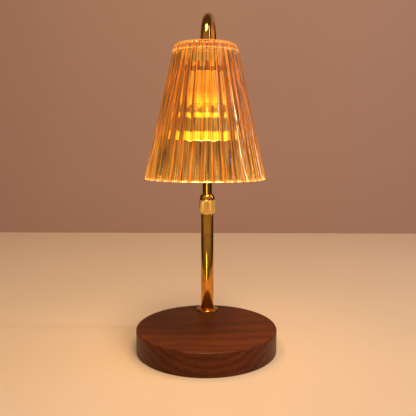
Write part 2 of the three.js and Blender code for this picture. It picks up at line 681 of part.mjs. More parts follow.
// The shade: reeds outside, a smooth hollow inside and a hole in its thick top
function glassShade() {
  const rim = SHADE_RIM_DIAMETER / 2;
  const slope = Math.atan2(rim - SHADE_TOP_DIAMETER / 2, SHADE_HEIGHT);
  const crestAt = (height) => rim - (height - GLASS_BOTTOM) * Math.tan(slope);
  const shoulderArc = (top, inset, round) => {
    const centreHeight = top - round;
    const centreRadius = crestAt(centreHeight) - (inset + round) / Math.cos(slope);
    return arc(centreRadius, centreHeight, round, round, slope, Math.PI / 2);
  };
  const outerProfile = [
    [crestAt(GLASS_BOTTOM) - SHADE_RIM_ROUND, GLASS_BOTTOM],
    [crestAt(GLASS_BOTTOM + SHADE_RIM_ROUND), GLASS_BOTTOM + SHADE_RIM_ROUND],
    ...shoulderArc(GLASS_TOP, 0, SHADE_SHOULDER),
  ];
  const mouth = GLASS_BOTTOM - OVERRUN;
  const hollow = turned([
    [0, mouth],
    [crestAt(mouth) - SHADE_WALL / Math.cos(slope), mouth],
    ...shoulderArc(GLASS_CEILING, SHADE_WALL, SHADE_INNER_SHOULDER),
    [0, GLASS_CEILING],
  ], GLASS_SIDES);
  const hole = cylinder(NECK_LOOSE_HOLE, GLASS_CEILING - OVERRUN, GLASS_TOP + OVERRUN, TUBE_SIDES);
  return cut(loft(outerProfile.map(([crest, height]) => reededRing(crest, height))), hollow, hole);
}

// An upside-down cup with a hole in its top and a rounded edge
function capShape({ diameter, height, wall, top = wall, round }, hole, level, sides) {
  const outer = diameter / 2;
  const inner = outer - wall;
  return turnedRing([
    [hole, level - top],
    [inner, level - top],
    [inner, level - height],
    [outer, level - height],
    ...arc(outer - round, level - round, round, round, 0, Math.PI / 2),
    [hole, level],
  ], sides);
}

// The lampholder's housing, with blind holes in its top for the insert's screws
function holderHousing() {
  const holes = insertScrewPlaces().map((y) =>
    cylinder(INSERT_SCREW.shank / 2 + FIT, HOLDER_CEILING - OVERRUN, insertScrewTip() + FIT, SCREW_SIDES)
      .translate(0, y, 0));
  return cut(capShape(HOLDER, NECK_HOLE, HOLDER_TOP, BODY_SIDES), ...holes);
}

function insertScrewPlaces() {
  return [INSERT_SCREW.edge - INSERT_RADIUS, INSERT_RADIUS - INSERT_SCREW.edge];
}

function insertScrewTip() {
  return HOLDER_CEILING + HOLDER.top / 2;
}

// A slot that follows the pins as the bulb twists, from free to locked
function twistSlot(halfWidth, bottom, top) {
  const path = PIN_SPACING / 2;
  const slack = THREE.MathUtils.degToRad(SLOT_SLACK_DEGREES);
  const from = -THREE.MathUtils.degToRad(TWIST_DEGREES) - slack;
  const to = slack;
  const outline = new THREE.Shape();
  outline.absarc(0, 0, path + halfWidth, from, to, false);
  outline.absarc(path * Math.cos(to), path * Math.sin(to), halfWidth, to, to + Math.PI, false);
  outline.absarc(0, 0, path - halfWidth, to, from, true);
  outline.absarc(path * Math.cos(from), path * Math.sin(from), halfWidth,
    from + Math.PI, from + 2 * Math.PI, false);
  const options = { depth: top - bottom, bevelEnabled: false, curveSegments: SCREW_SIDES / 2 };
  return new THREE.ExtrudeGeometry(outline, options).translate(0, 0, bottom);
}

// The ceramic insert: two keyhole slots under head chambers, and two recessed screw holes
function holderInsert() {
  const lipTop = INSERT_BOTTOM + SLOT_LIP;
  const below = INSERT_BOTTOM - OVERRUN;
  const above = INSERT_TOP + OVERRUN;
  const headClear = PIN.head / 2 + FIT;
  const free = -THREE.MathUtils.degToRad(TWIST_DEGREES);
  const slots = [0, Math.PI].flatMap((turn) => [
    twistSlot(PIN.neck / 2 + FIT, below, above).rotateZ(turn),
    twistSlot(headClear, lipTop, above).rotateZ(turn),
    cylinder(headClear, below, above, SCREW_SIDES).translate(PIN_SPACING / 2, 0, 0).rotateZ(free + turn),
  ]);
  const screwHoles = insertScrewPlaces().flatMap((y) => [
    cylinder(INSERT_SCREW.shank / 2 + FIT, below, above, SCREW_SIDES).translate(0, y, 0),
    cylinder(INSERT_SCREW.head / 2 + FIT, below, insertScrewSeat(), SCREW_SIDES).translate(0, y, 0),
  ]);
  return cut(cylinder(INSERT_RADIUS, INSERT_BOTTOM, INSERT_TOP, BODY_SIDES), ...slots, ...screwHoles);
}

function insertScrewSeat() {
  return INSERT_BOTTOM + INSERT_SCREW.headHeight + FIT;
}

// A brass strip on the insert with a tongue down to the pin's head
function contactSpring() {
  const { thickness, width, edge, inner, tongue } = CONTACT;
  const bottom = INSERT_TOP + FIT;
  const length = INSERT_RADIUS - edge - inner;
  const strip = box(length, width, bottom, bottom + thickness).translate(inner + length / 2, 0, 0);
  const leaf = box(thickness, width, bottom - tongue, bottom + thickness)
    .translate(inner + thickness / 2, 0, 0);
  return join(strip, leaf).rotateZ(-THREE.MathUtils.degToRad(TWIST_DEGREES) / 2);
}

function addLampholder(hanger) {
  add(hanger, 'holder_nut', hexNut(HOLDER_NUT, NECK_HOLE, HOLDER_NUT_BOTTOM), 'brass');
  add(hanger, 'holder_housing', holderHousing(), 'ivory');
  add(hanger, 'holder_insert', holderInsert(), 'ceramic');
  insertScrewPlaces().forEach((y, place) => {
    const geometry = screw(INSERT_SCREW, insertScrewSeat() - FIT, insertScrewTip()).translate(0, y, 0);
    add(hanger, `insert_screw_${place + 1}`, geometry, 'steel');
  });
  [0, Math.PI].forEach((turn, place) => {
    add(hanger, `contact_spring_${place + 1}`, contactSpring().rotateZ(turn), 'satinBrass');
  });
}

// The bulb's ceramic base: a socket for the reflector's neck and blind holes for the pins
function bulbBase() {
  const body = cylinder(BULB_BASE_RADIUS, BULB_BASE_BOTTOM, BULB_TOP, BODY_SIDES);
  const socket = cylinder(BULB_NECK_RADIUS + FIT, BULB_BASE_BOTTOM - OVERRUN, SOCKET_TOP, BODY_SIDES);
  const pinHoles = [-1, 1].map((side) =>
    cylinder(PIN.neck / 2 + FIT, BULB_TOP - PIN.root - FIT, BULB_TOP + OVERRUN, SCREW_SIDES)
      .translate((side * PIN_SPACING) / 2, 0, 0));
  return cut(body, socket, ...pinHoles);
}

function bulbPin(side) {
  const neck = PIN.neck / 2;
  const head = PIN.head / 2;
  const headBottom = PIN_TOP - PIN.headHeight;
  return turned([
    [0, BULB_TOP - PIN.root],
    [neck, BULB_TOP - PIN.root],
    [neck, headBottom],
    [head, headBottom],
    [head, PIN_TOP],
    [0, PIN_TOP],
  ], SCREW_SIDES).translate((side * PIN_SPACING) / 2, 0, 0);
}

// The glass reflector: a flared shell, open at its neck and its mouth
function bulbReflector() {
  const neck = BULB_NECK_RADIUS;
  const mouth = BULB_DIAMETER / 2;
  const flareTop = BULB_BASE_BOTTOM - BULB_NECK_REACH;
  const outside = flareShares.map(([growth, depth]) => [
    neck + growth * (mouth - neck),
    flareTop - depth * (flareTop - BULB_BOTTOM),
  ]);
  const inside = outside.map(([radius, height]) => [radius - BULB_GLASS, height]);
  const neckTop = SOCKET_TOP - FIT;
  return turnedRing([
    [neck - BULB_GLASS, neckTop],
    ...inside,
    ...outside.reverse(),
    [neck, neckTop],
  ], BODY_SIDES);
}

// The burner: a small round-ended glass capsule on the reflector's axis
function bulbCapsule() {
  const radius = CAPSULE.diameter / 2;
  const top = SOCKET_TOP - FIT;
  return turned([
    ...arc(0, top - CAPSULE.length + radius, radius, radius, -Math.PI / 2, 0),
    [radius, top],
    [0, top],
  ], SCREW_SIDES);
}

function addBulb(hanger) {
  const lensBottom = BULB_BOTTOM + LENS_RECESS;
  const lensRadius = BULB_DIAMETER / 2 - BULB_GLASS - FIT;
  const lens = cylinder(lensRadius, lensBottom, lensBottom + LENS_THICKNESS, BODY_SIDES);
  add(hanger, 'bulb_base', bulbBase(), 'ceramic');
  add(hanger, 'bulb_pin_1', bulbPin(1), 'steel');
  add(hanger, 'bulb_pin_2', bulbPin(-1), 'steel');
  add(hanger, 'bulb_reflector', bulbReflector(), 'clearGlass');
  add(hanger, 'bulb_capsule', bulbCapsule(), 'clearGlass');
  add(hanger, 'bulb_lens', lens, 'clearGlass');
}

// The shade with what clamps it between the neck's flange and the cup's nut
function addShade(hanger) {
  const topGasket = ring(TOP_GASKET.diameter / 2, NECK_LOOSE_HOLE, GASKET_BOTTOM,
    GASKET_BOTTOM + TOP_GASKET.thickness, TUBE_SIDES);
  const neckFlange = ring(NECK_FLANGE.diameter / 2, NECK_LOOSE_HOLE, NECK_FLANGE_BOTTOM,
    NECK_FLANGE_BOTTOM + NECK_FLANGE.thickness, TUBE_SIDES);
  const innerGasket = ring(INNER_GASKET.diameter / 2, NECK_HOLE,
    INNER_GASKET_TOP - INNER_GASKET.thickness, INNER_GASKET_TOP, BODY_SIDES);
  add(hanger, 'neck_flange', neckFlange, 'brass');
  add(hanger, 'top_gasket', topGasket, 'silicone');
  add(hanger, 'glass_shade', glassShade(), 'amberGlass');
  add(hanger, 'inner_gasket', innerGasket, 'silicone');
  add(hanger, 'shade_cup', capShape(CUP, NECK_HOLE, CUP_TOP, BODY_SIDES), 'brass');
  add(hanger, 'cup_nut', hexNut(CUP_NUT, NECK_HOLE, CUP_NUT_TOP - CUP_NUT.height), 'brass');
}

function makeArm() {
  const arm = new THREE.Group();
  arm.position.set(0, POST_Y, 0);
  const lead = rod(neckStations(PLUG_BOTTOM - LEAD_TAIL, NECK_LEG), LEAD_RADIUS, LEAD_SIDES);
  add(arm, 'guide_plug', guidePlug(), 'nylon');
  add(arm, 'neck_tube', neckTube(), 'brass');
  add(arm, 'neck_lead', lead, 'lead');
  const hanger = new THREE.Group();
  hanger.position.copy(bendStation(BEND_ANGLE).point);
  hanger.rotation.set(BEND_ANGLE - Math.PI, 0, NECK_YAW, 'ZXY');
  addShade(hanger);
  addLampholder(hanger);
  addBulb(hanger);
  arm.add(hanger);
  return arm;
}

const candleWarmer = new THREE.Group();
candleWarmer.name = 'candle_warmer';
candleWarmer.add(makeBase(), makePost(), makeArm());

export default candleWarmer;
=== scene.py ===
"""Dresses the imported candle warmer: walnut foot, brass post, reeded amber shade and lit spot bulb.

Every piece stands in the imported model's own frame, in metres. Sizes that the frame already knows are read
from it, and the rest are fields of the class that models the piece.
"""

import json
import logging
import math
from abc import ABC, abstractmethod
from collections.abc import Callable, Iterable
from dataclasses import dataclass
from enum import Enum
from functools import partial

import bmesh
import bpy
from mathutils import Matrix, Vector


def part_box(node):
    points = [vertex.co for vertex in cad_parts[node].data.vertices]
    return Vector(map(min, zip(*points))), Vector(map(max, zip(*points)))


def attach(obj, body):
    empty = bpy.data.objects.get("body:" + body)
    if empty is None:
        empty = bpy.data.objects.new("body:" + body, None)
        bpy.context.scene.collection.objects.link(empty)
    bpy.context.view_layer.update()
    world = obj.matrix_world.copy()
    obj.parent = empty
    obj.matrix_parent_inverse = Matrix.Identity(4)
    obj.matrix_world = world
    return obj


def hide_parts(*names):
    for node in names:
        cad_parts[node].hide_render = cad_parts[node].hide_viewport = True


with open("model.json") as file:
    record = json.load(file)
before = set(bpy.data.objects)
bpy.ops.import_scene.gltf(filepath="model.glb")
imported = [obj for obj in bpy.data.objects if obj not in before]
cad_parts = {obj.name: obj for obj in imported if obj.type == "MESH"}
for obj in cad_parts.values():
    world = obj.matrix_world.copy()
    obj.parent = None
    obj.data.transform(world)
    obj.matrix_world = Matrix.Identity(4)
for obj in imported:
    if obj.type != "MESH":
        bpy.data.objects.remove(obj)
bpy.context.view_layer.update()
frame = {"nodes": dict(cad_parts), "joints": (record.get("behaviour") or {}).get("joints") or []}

log = logging.getLogger("candle_warmer")

MM = 0.001
MERGE = 1e-7
OVERRUN = 2 * MM
QUARTER = math.pi / 2
SIDES = 96
ROUND_STEPS = 8

Pair = tuple[float, float]
Place = tuple[float, float, float]
Colour = tuple[float, float, float, float]
Profile = list[Pair]
Ramp = tuple[tuple[float, str], ...]
Node = bpy.types.Node
Piece = bpy.types.Object
Socket = bpy.types.NodeSocket
Inputs = dict[str | int, object] | tuple[object, ...]
Adder = Callable[..., Node]


class Body(Enum):
    """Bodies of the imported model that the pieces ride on."""

    BASE = "base"
    NUT = "nut"
    ARM = "arm"
    BULB = "bulb"


class Slot(Enum):
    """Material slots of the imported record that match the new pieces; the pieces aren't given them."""

    WALNUT = "walnut"
    POLISHED_BRASS = "polished_brass"
    SATIN_BRASS = "satin_brass"
    AMBER_GLASS = "amber_glass"
    IVORY_PLASTIC = "ivory_plastic"
    REFLECTOR_GLASS = "reflector_glass"
    LIT_GLASS = "lit_glass"
    BLACK_PLASTIC = "black_plastic"


def linear(code: str) -> Colour:
    """Turns an sRGB hex colour into linear light.

    Args:
        code: A colour such as "#c08040".

    Returns:
        Red, green, blue and a full alpha, as the shader sockets want them.
    """
    shares = [int(code[place : place + 2], 16) / 255 for place in (1, 3, 5)]
    bent = [s / 12.92 if s <= 0.04045 else ((s + 0.055) / 1.055) ** 2.4 for s in shares]
    return (*bent, 1.0)


def plug(node: Node, inputs: Inputs) -> Node:
    """Fills a node's inputs.

    Args:
        node: The node to fill.
        inputs: Values by input name or number, or in the inputs' own order. A socket is linked, and a node
            stands for its first output.

    Returns:
        The same node.
    """
    for name, value in inputs.items() if isinstance(inputs, dict) else enumerate(inputs):
        source = value.outputs[0] if isinstance(value, Node) else value
        if isinstance(source, Socket):
            node.id_data.links.new(source, node.inputs[name])
        else:
            node.inputs[name].default_value = source
    return node


def add_node(tree: bpy.types.NodeTree, kind: str, inputs: Inputs = (), **settings: object) -> Node:
    """Adds one shader node.

    Args:
        tree: The material's or world's node tree.
        kind: The node's type name after "ShaderNode".
        inputs: What its inputs take, as plug wants it.
        **settings: The node's own properties; ramp takes (place, hex colour) stops.

    Returns:
        The new node.
    """
    node = tree.nodes.new("ShaderNode" + kind)
    for place, (position, code) in enumerate(settings.pop("ramp", ())):
        stops = node.color_ramp.elements
        stop = stops[place] if place < len(stops) else stops.new(position)
        stop.position = position
        stop.color = linear(code)
    for name, value in settings.items():
        setattr(node, name, value)
    return plug(node, inputs)


def spans(node: str, place: Matrix) -> tuple[Vector, Vector]:
    """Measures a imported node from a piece's own axis and zero height.

    Args:
        node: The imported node's name.
        place: Where the piece's axis and zero height lie.

    Returns:
        The node's lowest and highest corner.
    """
    inverse = place.inverted()
    points = [inverse @ vertex.co for vertex in frame["nodes"][node].data.vertices]
    low = Vector(min(p[axis] for p in points) for axis in range(3))
    high = Vector(max(p[axis] for p in points) for axis in range(3))
    return low, high


def post_place() -> Matrix:
    """Returns the post's axis at table height."""
    low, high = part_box("outer_tube")
    return Matrix.Translation(((low.x + high.x) / 2, (low.y + high.y) / 2, 0))


def hanger_place() -> Matrix:
    """Returns the axis that the shade hangs on, with its zero at the end of the gooseneck's bend.

    Its X lies level and points to the right, square to the plane of the bend.
    """
    twist = next(joint for joint in frame["joints"] if joint["name"] == "bulb_twist")
    up = -Vector(twist["axis"])
    across = Vector((up.y, -up.x, 0)).normalized()
    turn = Matrix((across, up.cross(across), up)).transposed().to_4x4()
    return Matrix.Translation(twist["pos_m"]) @ turn


def way_along(add: Adder, place: Socket, own: Matrix, axis: int) -> Socket:
    """Way along one axis of a piece's own place, worked out from object coordinates."""
    offset = add("VectorMath", (place, own.to_translation()), operation="SUBTRACT")
    return add("VectorMath", (offset, own.to_3x3().col[axis]), operation="DOT_PRODUCT").outputs["Value"]


@dataclass(frozen=True)
class Finish(ABC):
    """A named finish, whose material is built once and then shared."""

    name: str

    @abstractmethod
    def surface(self, add: Adder, place: Socket) -> Inputs:
        """Lays out the finish's nodes.

        Args:
            add: Adds a node to the material, as add_node does to a tree.
            place: The object coordinates.

        Returns:
            The inputs of the material's principled shader.
        """

    def paint(self, piece: Piece) -> None:
        """Makes this finish a piece's only material.

        Args:
            piece: The object to paint.
        """
        material = bpy.data.materials.get(self.name)
        if material is None:
            material = bpy.data.materials.new(self.name)
            material.use_nodes = True
            add = partial(add_node, material.node_tree)
            inputs = self.surface(add, add("TexCoord").outputs["Object"])
            plug(material.node_tree.nodes["Principled BSDF"], inputs)
        piece.data.materials.clear()
        piece.data.materials.append(material)


@dataclass(frozen=True)
class Walnut(Finish):
    """Walnut turned across a plank and rubbed with satin oil: dark growth bands, long fibres and open pores.

    The fields that end in along are each pattern's scale along the grain as a share of its scale across.
    """

    name: str = "walnut_satin_oil"
    dark: str = "#481d05"
    middle: str = "#542508"
    light: str = "#602c0b"
    pore: str = "#220c03"
    ring_width: float = 7 * MM
    pith_depth: float = 150 * MM
    pith_back: float = 55 * MM
    sways_per_metre: float = 22
    sway_along: float = 0.25
    sway_rings: float = 3
    noise_span: Pair = (0.3, 0.7)
    fibre_width: float = 1.1 * MM
    fibre_along: float = 0.05
    fibre_tones: Pair = (0.62, 1.38)
    patches_per_metre: float = 30
    patch_along: float = 0.4
    patch_tones: Pair = (0.8, 1.18)
    pore_width: float = 0.4 * MM
    pore_span: Pair = (0.08, 0.24)
    pore_share: float = 0.7
    pore_along: float = 0.09
    pore_depth: float = 0.03 * MM
    roughness: float = 0.4
    sheen_level: float = 0.16

    def surface(self, add: Adder, place: Socket) -> Inputs:
        """Lays out bands, fibres, patches and pores, with the grain along X and the pith below the foot."""
        swayed = self.swayed(add, place)
        fibre = self.pattern(add, "TexNoise", swayed, self.fibre_along, {
            "Scale": 1 / self.fibre_width, "Detail": 4, "Roughness": 0.6})
        patches = self.pattern(add, "TexNoise", place, self.patch_along, {
            "Scale": self.patches_per_metre, "Detail": 2})
        pores = self.pattern(add, "TexVoronoi", swayed, self.pore_along, {
            "Scale": 0.5 / self.pore_width, "Randomness": 1})
        fibre_tone = add("MapRange", (fibre, *self.noise_span, *self.fibre_tones))
        patch_tone = add("MapRange", (patches, *self.noise_span, *self.patch_tones))
        tone = add("Math", (fibre_tone, patch_tone), operation="MULTIPLY")
        grained = add("VectorMath", {0: self.bands(add, swayed), "Scale": tone}, operation="SCALE")
        pore_mask = add("MapRange", (pores, *self.pore_span, self.pore_share, 0))
        coloured = add("Mix", {0: pore_mask, 6: grained, 7: linear(self.pore)}, data_type="RGBA")
        return {
            "Base Color": coloured.outputs[2], "Specular IOR Level": self.sheen_level,
            "Roughness": add("MapRange", (fibre, 0, 1, self.roughness - 0.07, self.roughness + 0.1)),
            "Normal": add("Bump", {"Height": pore_mask, "Distance": -self.pore_depth, "Strength": 0.6})}

    def pattern(self, add: Adder, kind: str, place: Node | Socket, along: float, inputs: dict) -> Node:
        """Adds a texture that is drawn out along the grain."""
        drawn_out = add("Mapping", {"Vector": place, "Scale": (along, 1, 1)})
        return add(kind, {"Vector": drawn_out, **inputs})

    def swayed(self, add: Adder, place: Socket) -> Node:
        """Sways the coordinates slowly, so that neither rings nor fibres run straight.

        Args:
            add: Adds a node to the material.
            place: The object coordinates.

        Returns:
            The swayed coordinates.
        """
        sway = self.pattern(add, "TexNoise", place, self.sway_along, {
            "Scale": self.sways_per_metre, "Detail": 3, "Roughness": 0.45})
        centred = add("VectorMath", (sway.outputs["Color"], (0.5, 0.5, 0.5)), operation="SUBTRACT")
        shift = add("VectorMath", {0: centred, "Scale": self.sway_rings * self.ring_width}, operation="SCALE")
        return add("VectorMath", (place, shift), operation="ADD")

    def bands(self, add: Adder, swayed: Node) -> Node:
        """Draws the growth rings about a pith behind and below the foot.

        Args:
            add: Adds a node to the material.
            swayed: The swayed coordinates.

        Returns:
            The rings' colour.
        """
        centred = add("Mapping", {"Vector": swayed, "Location": (0, -self.pith_back, self.pith_depth)})
        rings = add("TexWave", {
            "Vector": centred, "Scale": math.tau / 20 / self.ring_width, "Distortion": 3, "Detail": 3,
            "Detail Scale": 0.8}, wave_type="RINGS", rings_direction="X", wave_profile="SAW")
        return add("ValToRGB", (rings.outputs["Fac"],), ramp=(
            (0.0, self.middle), (0.35, self.light), (0.65, self.middle), (0.85, self.dark),
            (1.0, self.middle)))


@dataclass(frozen=True)
class PolishedBrass(Finish):
    """Brass tube, buffed and clear lacquered: a deep gold mirror with the faint haze that handling leaves."""

    name: str = "brass_polished"
    colour: str = "#dc9c42"
    worn: str = "#bd7a2a"
    roughness: float = 0.08
    haze_size: float = 14 * MM
    # a glow here is painted light, standing in for light that falls on the brass
    glow: str = "#ffd074"
    glow_strength: float = 0.0

    def surface(self, add: Adder, place: Socket) -> Inputs:
        """Lays out metal with slow changes of tone and polish."""
        haze = add("TexNoise", {"Vector": place, "Scale": 1 / self.haze_size, "Detail": 4, "Roughness": 0.6})
        return {
            "Base Color": add("ValToRGB", (haze,), ramp=((0.3, self.worn), (0.55, self.colour))),
            "Roughness": add("MapRange", (haze, 0, 1, self.roughness * 1.6, self.roughness * 0.6)),
            "Metallic": 1, "Emission Color": linear(self.glow), "Emission Strength": self.glow_strength}


@dataclass(frozen=True)
class Grained(Finish):
    """One base tone that a fine grain breaks up, darker in its hollows and with relief of its own."""

    colour: str
    shade: str
    roughness: float
    metallic: float = 0.0
    grain_size: float = 0.6 * MM
    relief: float = 0.01 * MM
    relief_strength: float = 0.5
    tone_span: Pair = (0.3, 0.6)
    glow: str = "#000000"
    glow_strength: float = 0.0

    def surface(self, add: Adder, place: Socket) -> Inputs:
        """Lays out the two tones and the grain."""
        grain = add("TexNoise", {"Vector": place, "Scale": 1 / self.grain_size, "Detail": 3})
        tones = tuple(zip(self.tone_span, (self.shade, self.colour)))
        bump = add("Bump", {"Height": grain, "Distance": self.relief, "Strength": self.relief_strength})
        return {
            "Base Color": add("ValToRGB", (grain,), ramp=tones), "Metallic": self.metallic,
            "Roughness": self.roughness, "Emission Color": linear(self.glow),
            "Emission Strength": self.glow_strength, "Normal": bump}


@dataclass(frozen=True)
class GlowingHolder(Grained):
    """Moulded ivory thermoset with a painted glow, strongest at its lower edge, for the light that the bulb's
    back lets out.
    """

    name: str = "holder_ivory_painted_glow"
    colour: str = "#f3e4c6"
    shade: str = "#e6d2ad"
    roughness: float = 0.42
    grain_size: float = 1.5 * MM
    relief_strength: float = 0.4
    glow: str = "#ffa41a"
    glow_strength: float = 0.8
    edge_strength: float = 2.6
    reach: float = 13 * MM

    def surface(self, add: Adder, place: Socket) -> Inputs:
        """Lays out the moulded grain and a painted glow that fades up from the mouth."""
        hanger = hanger_place()
        mouth = spans("holder_housing", hanger)[0].z
        glow = add("MapRange", (
            way_along(add, place, hanger, 2), mouth, mouth + self.reach, self.edge_strength,
            self.glow_strength), interpolation_type="SMOOTHSTEP")
        return super().surface(add, place) | {"Emission Strength": glow}


@dataclass(frozen=True)
class GlowingReflector(Finish):
    """Pressed reflector glass, silvered inside, with two uncoated bands that let light out."""

    name: str = "reflector_glass_coated"
    colour: str = "#e8dcc6"
    glow: str = "#ffbe20"
    band_strength: float = 2.5
    ring_strength: float = 2.3
    haze_strength: float = 0.12
    rim_band: float = 7.7 * MM
    ring_low: float = 20.6 * MM
    ring_high: float = 24.8 * MM
    soft: float = 0.8 * MM
    metallic: float = 0.6
    roughness: float = 0.25

    def surface(self, add: Adder, place: Socket) -> Inputs:
        """Lays out a satin mirror whose bands shine by their height over the bulb's face."""
        hanger = hanger_place()
        face = spans("bulb_reflector", hanger)[0].z
        height = add("Math", (way_along(add, place, hanger, 2), face), operation="SUBTRACT")
        bands = add("Math", (
            self.band(add, height, -MM, self.rim_band, self.band_strength),
            self.band(add, height, self.ring_low, self.ring_high, self.ring_strength)), operation="ADD")
        return {
            "Base Color": linear(self.colour), "Metallic": self.metallic, "Roughness": self.roughness,
            "Emission Color": linear(self.glow),
            "Emission Strength": add("Math", (bands, self.haze_strength), operation="ADD")}

    def band(self, add: Adder, height: Node, low: float, high: float, strength: float) -> Node:
        """Draws one band's glow with soft edges.

        Args:
            add: Adds a node to the material.
            height: Height over the bulb's face.
            low: Where the band begins.
            high: Where it ends.
            strength: The glow inside it.

        Returns:
            The glow's strength.
        """
        rise = add("MapRange", (height, low - self.soft, low + self.soft, 0, strength))
        fall = add("MapRange", (height, high - self.soft, high + self.soft, 1, 0))
        return add("Math", (rise, fall), operation="MULTIPLY")


@dataclass(frozen=True)
class AmberGlass(Finish):
    """Clear pressed amber glass, tinted deeper between the reeds, with painted light on it.

    A painted glow stands in for the bulb's light that the glass pipes: it is strongest in the valleys, at the
    rim and in the top. Each glow is a ramp of colours from the rim, 0, to the top, 1.
    """

    name: str = "glass_amber_painted_glow"
    tint: str = "#ffe8a8"
    valley_tint: str = "#ffb048"
    crest_glow: Ramp = (
        (0.0, "#f2cc92"), (0.008, "#c48c4c"), (0.014, "#80501e"), (0.022, "#4a3410"), (0.3, "#362207"),
        (0.42, "#301a06"), (0.932, "#301a04"), (0.94, "#a87c40"), (0.948, "#582803"))
    valley_glow: Ramp = (
        (0.0, "#8c480a"), (0.02, "#844808"), (0.3, "#743c06"), (0.6, "#7c3e06"), (0.932, "#8a4404"),
        (0.94, "#c8842c"), (0.948, "#8c4403"))
    # painted shade: the tint darkens on each reed's flank
    flank_painted_shade: Ramp = ((0.1, "#ffffff"), (0.17, "#7a7a7a"), (0.24, "#ffffff"))
    valley_from: float = 0.04
    valley_to: float = 0.16
    rim_valley_to: float = 0.42
    rim_span: Pair = (0.015, 0.025)
    streaks_per_reed: float = 7.5
    streaks_in_height: float = 3
    streak_span: Pair = (0.4, 0.56)
    streak_glow: float = 2.4
    streak_painted_shade: float = 0.48
    ior: float = 1.5
    roughness: float = 0.0
    ripple_size: float = 9 * MM
    ripple_along: float = 0.35
    ripple_depth: float = 0.06 * MM

    def surface(self, add: Adder, place: Socket) -> Inputs:
        """Lays out tinted clear transmission, a painted glow, painted streaks and flank shade, and a slight
        ripple.
        """
        hanger = hanger_place()
        low, high = spans("glass_shade", hanger)
        height = add("MapRange", (way_along(add, place, hanger, 2), low.z, high.z))
        reed = self.around(add, place)
        beside = add("Math", (reed, 0.5), operation="PINGPONG")
        valley = self.valley(add, beside, height)
        streaks = self.streaks(add, reed, height)
        tint = add("Mix", {0: valley, 6: linear(self.tint), 7: linear(self.valley_tint)}, data_type="RGBA")
        flank_painted_shade = add("ValToRGB", (beside,), ramp=self.flank_painted_shade)
        flank_shaded_tint = add("VectorMath", (tint.outputs[2], flank_painted_shade), operation="MULTIPLY")
        # painted shade: the tint darkens along the streaks
        streak_shade = add("MapRange", (streaks, 0, 1, self.streak_painted_shade, 1))
        # painted light: the glow's colour, strongest in the valleys, at the rim and in the top
        crest_glow = add("ValToRGB", (height,), ramp=self.crest_glow)
        valley_glow = add("ValToRGB", (height,), ramp=self.valley_glow)
        glow = add("Mix", {0: valley, 6: crest_glow, 7: valley_glow}, data_type="RGBA")
        # painted light: the glow brightens along the streaks
        brightness = add("Math", (streaks, self.streak_glow), operation="MULTIPLY")
        drawn_out = add("Mapping", {"Vector": place, "Scale": (1, 1, self.ripple_along)})
        ripple = add("TexNoise", {"Vector": drawn_out, "Scale": 1 / self.ripple_size, "Detail": 1})
        return {
            "Base Color": add("VectorMath", {0: flank_shaded_tint, "Scale": streak_shade}, operation="SCALE"),
            "Emission Color": add("VectorMath", {0: glow.outputs[2], "Scale": brightness}, operation="SCALE"),
            "Emission Strength": 1, "Transmission Weight": 1, "IOR": self.ior, "Roughness": self.roughness,
            "Normal": add("Bump", {"Height": ripple, "Distance": self.ripple_depth, "Strength": 0.5})}

    def around(self, add: Adder, place: Socket) -> Node:
        """Measures the way round the shade.

        Args:
            add: Adds a node to the material.
            place: The object coordinates.

        Returns:
            The way round in reeds, with whole numbers in the valleys.
        """
        shade = Shade()
        turned = hanger_place() @ Matrix.Rotation(shade.reed_turn, 4, "Z")
        across, along = (way_along(add, place, turned, axis) for axis in (0, 1))
        angle = add("Math", (along, across), operation="ARCTAN2")
        return add("Math", (angle, shade.reeds / math.tau), operation="MULTIPLY")

    def streaks(self, add: Adder, reed: Node, height: Node) -> Node:
        """Draws long streaks along the reeds, of painted light in the glow and painted shade in the tint.

        Args:
            add: Adds a node to the material.
            reed: Way round the shade in reeds.
            height: Share of the shade's height over its rim.

        Returns:
            A share that varies between 0 and 1.
        """
        across = add("Math", (reed, self.streaks_per_reed), operation="MULTIPLY")
        along = add("Math", (height, self.streaks_in_height), operation="MULTIPLY")
        noise = add("TexNoise", {
            "Vector": add("CombineXYZ", (across, along)), "Scale": 1, "Detail": 3, "Roughness": 0.6})
        return add("MapRange", (noise, *self.streak_span))

    def valley(self, add: Adder, beside: Node, height: Node) -> Node:
        """Share of the valleys' deeper tint and painted glow, 1 between two reeds and 0 over their crests,
        wider at the rim.
        """
        reach = add("MapRange", (height, *self.rim_span, self.rim_valley_to, self.valley_to))
        return add("MapRange", (beside, self.valley_from, reach, 1, 0), interpolation_type="SMOOTHSTEP")


@dataclass(frozen=True)
class Painted(Finish):
    """A room surface's flat paint with a faint unevenness."""

    colour: str
    roughness: float
    cloud_dim: float = 0.95
    clouds_per_metre: float = 6

    def surface(self, add: Adder, place: Socket) -> Inputs:
        """Lays out two close tones that slow clouds mix."""
        clouds = add("TexNoise", {"Vector": place, "Scale": self.clouds_per_metre, "Detail": 2})
        bright = linear(self.colour)
        dim = (*(share * self.cloud_dim for share in bright[:3]), 1)
        tone = add("Mix", {0: clouds, 6: bright, 7: dim}, data_type="RGBA")
        return {"Base Color": tone.outputs[2], "Roughness": self.roughness}


TABLE_PAINT = Painted("table_paint", "#e2cdb0", 0.45)
WALL_PAINT = Painted("wall_paint", "#a88979", 0.9)

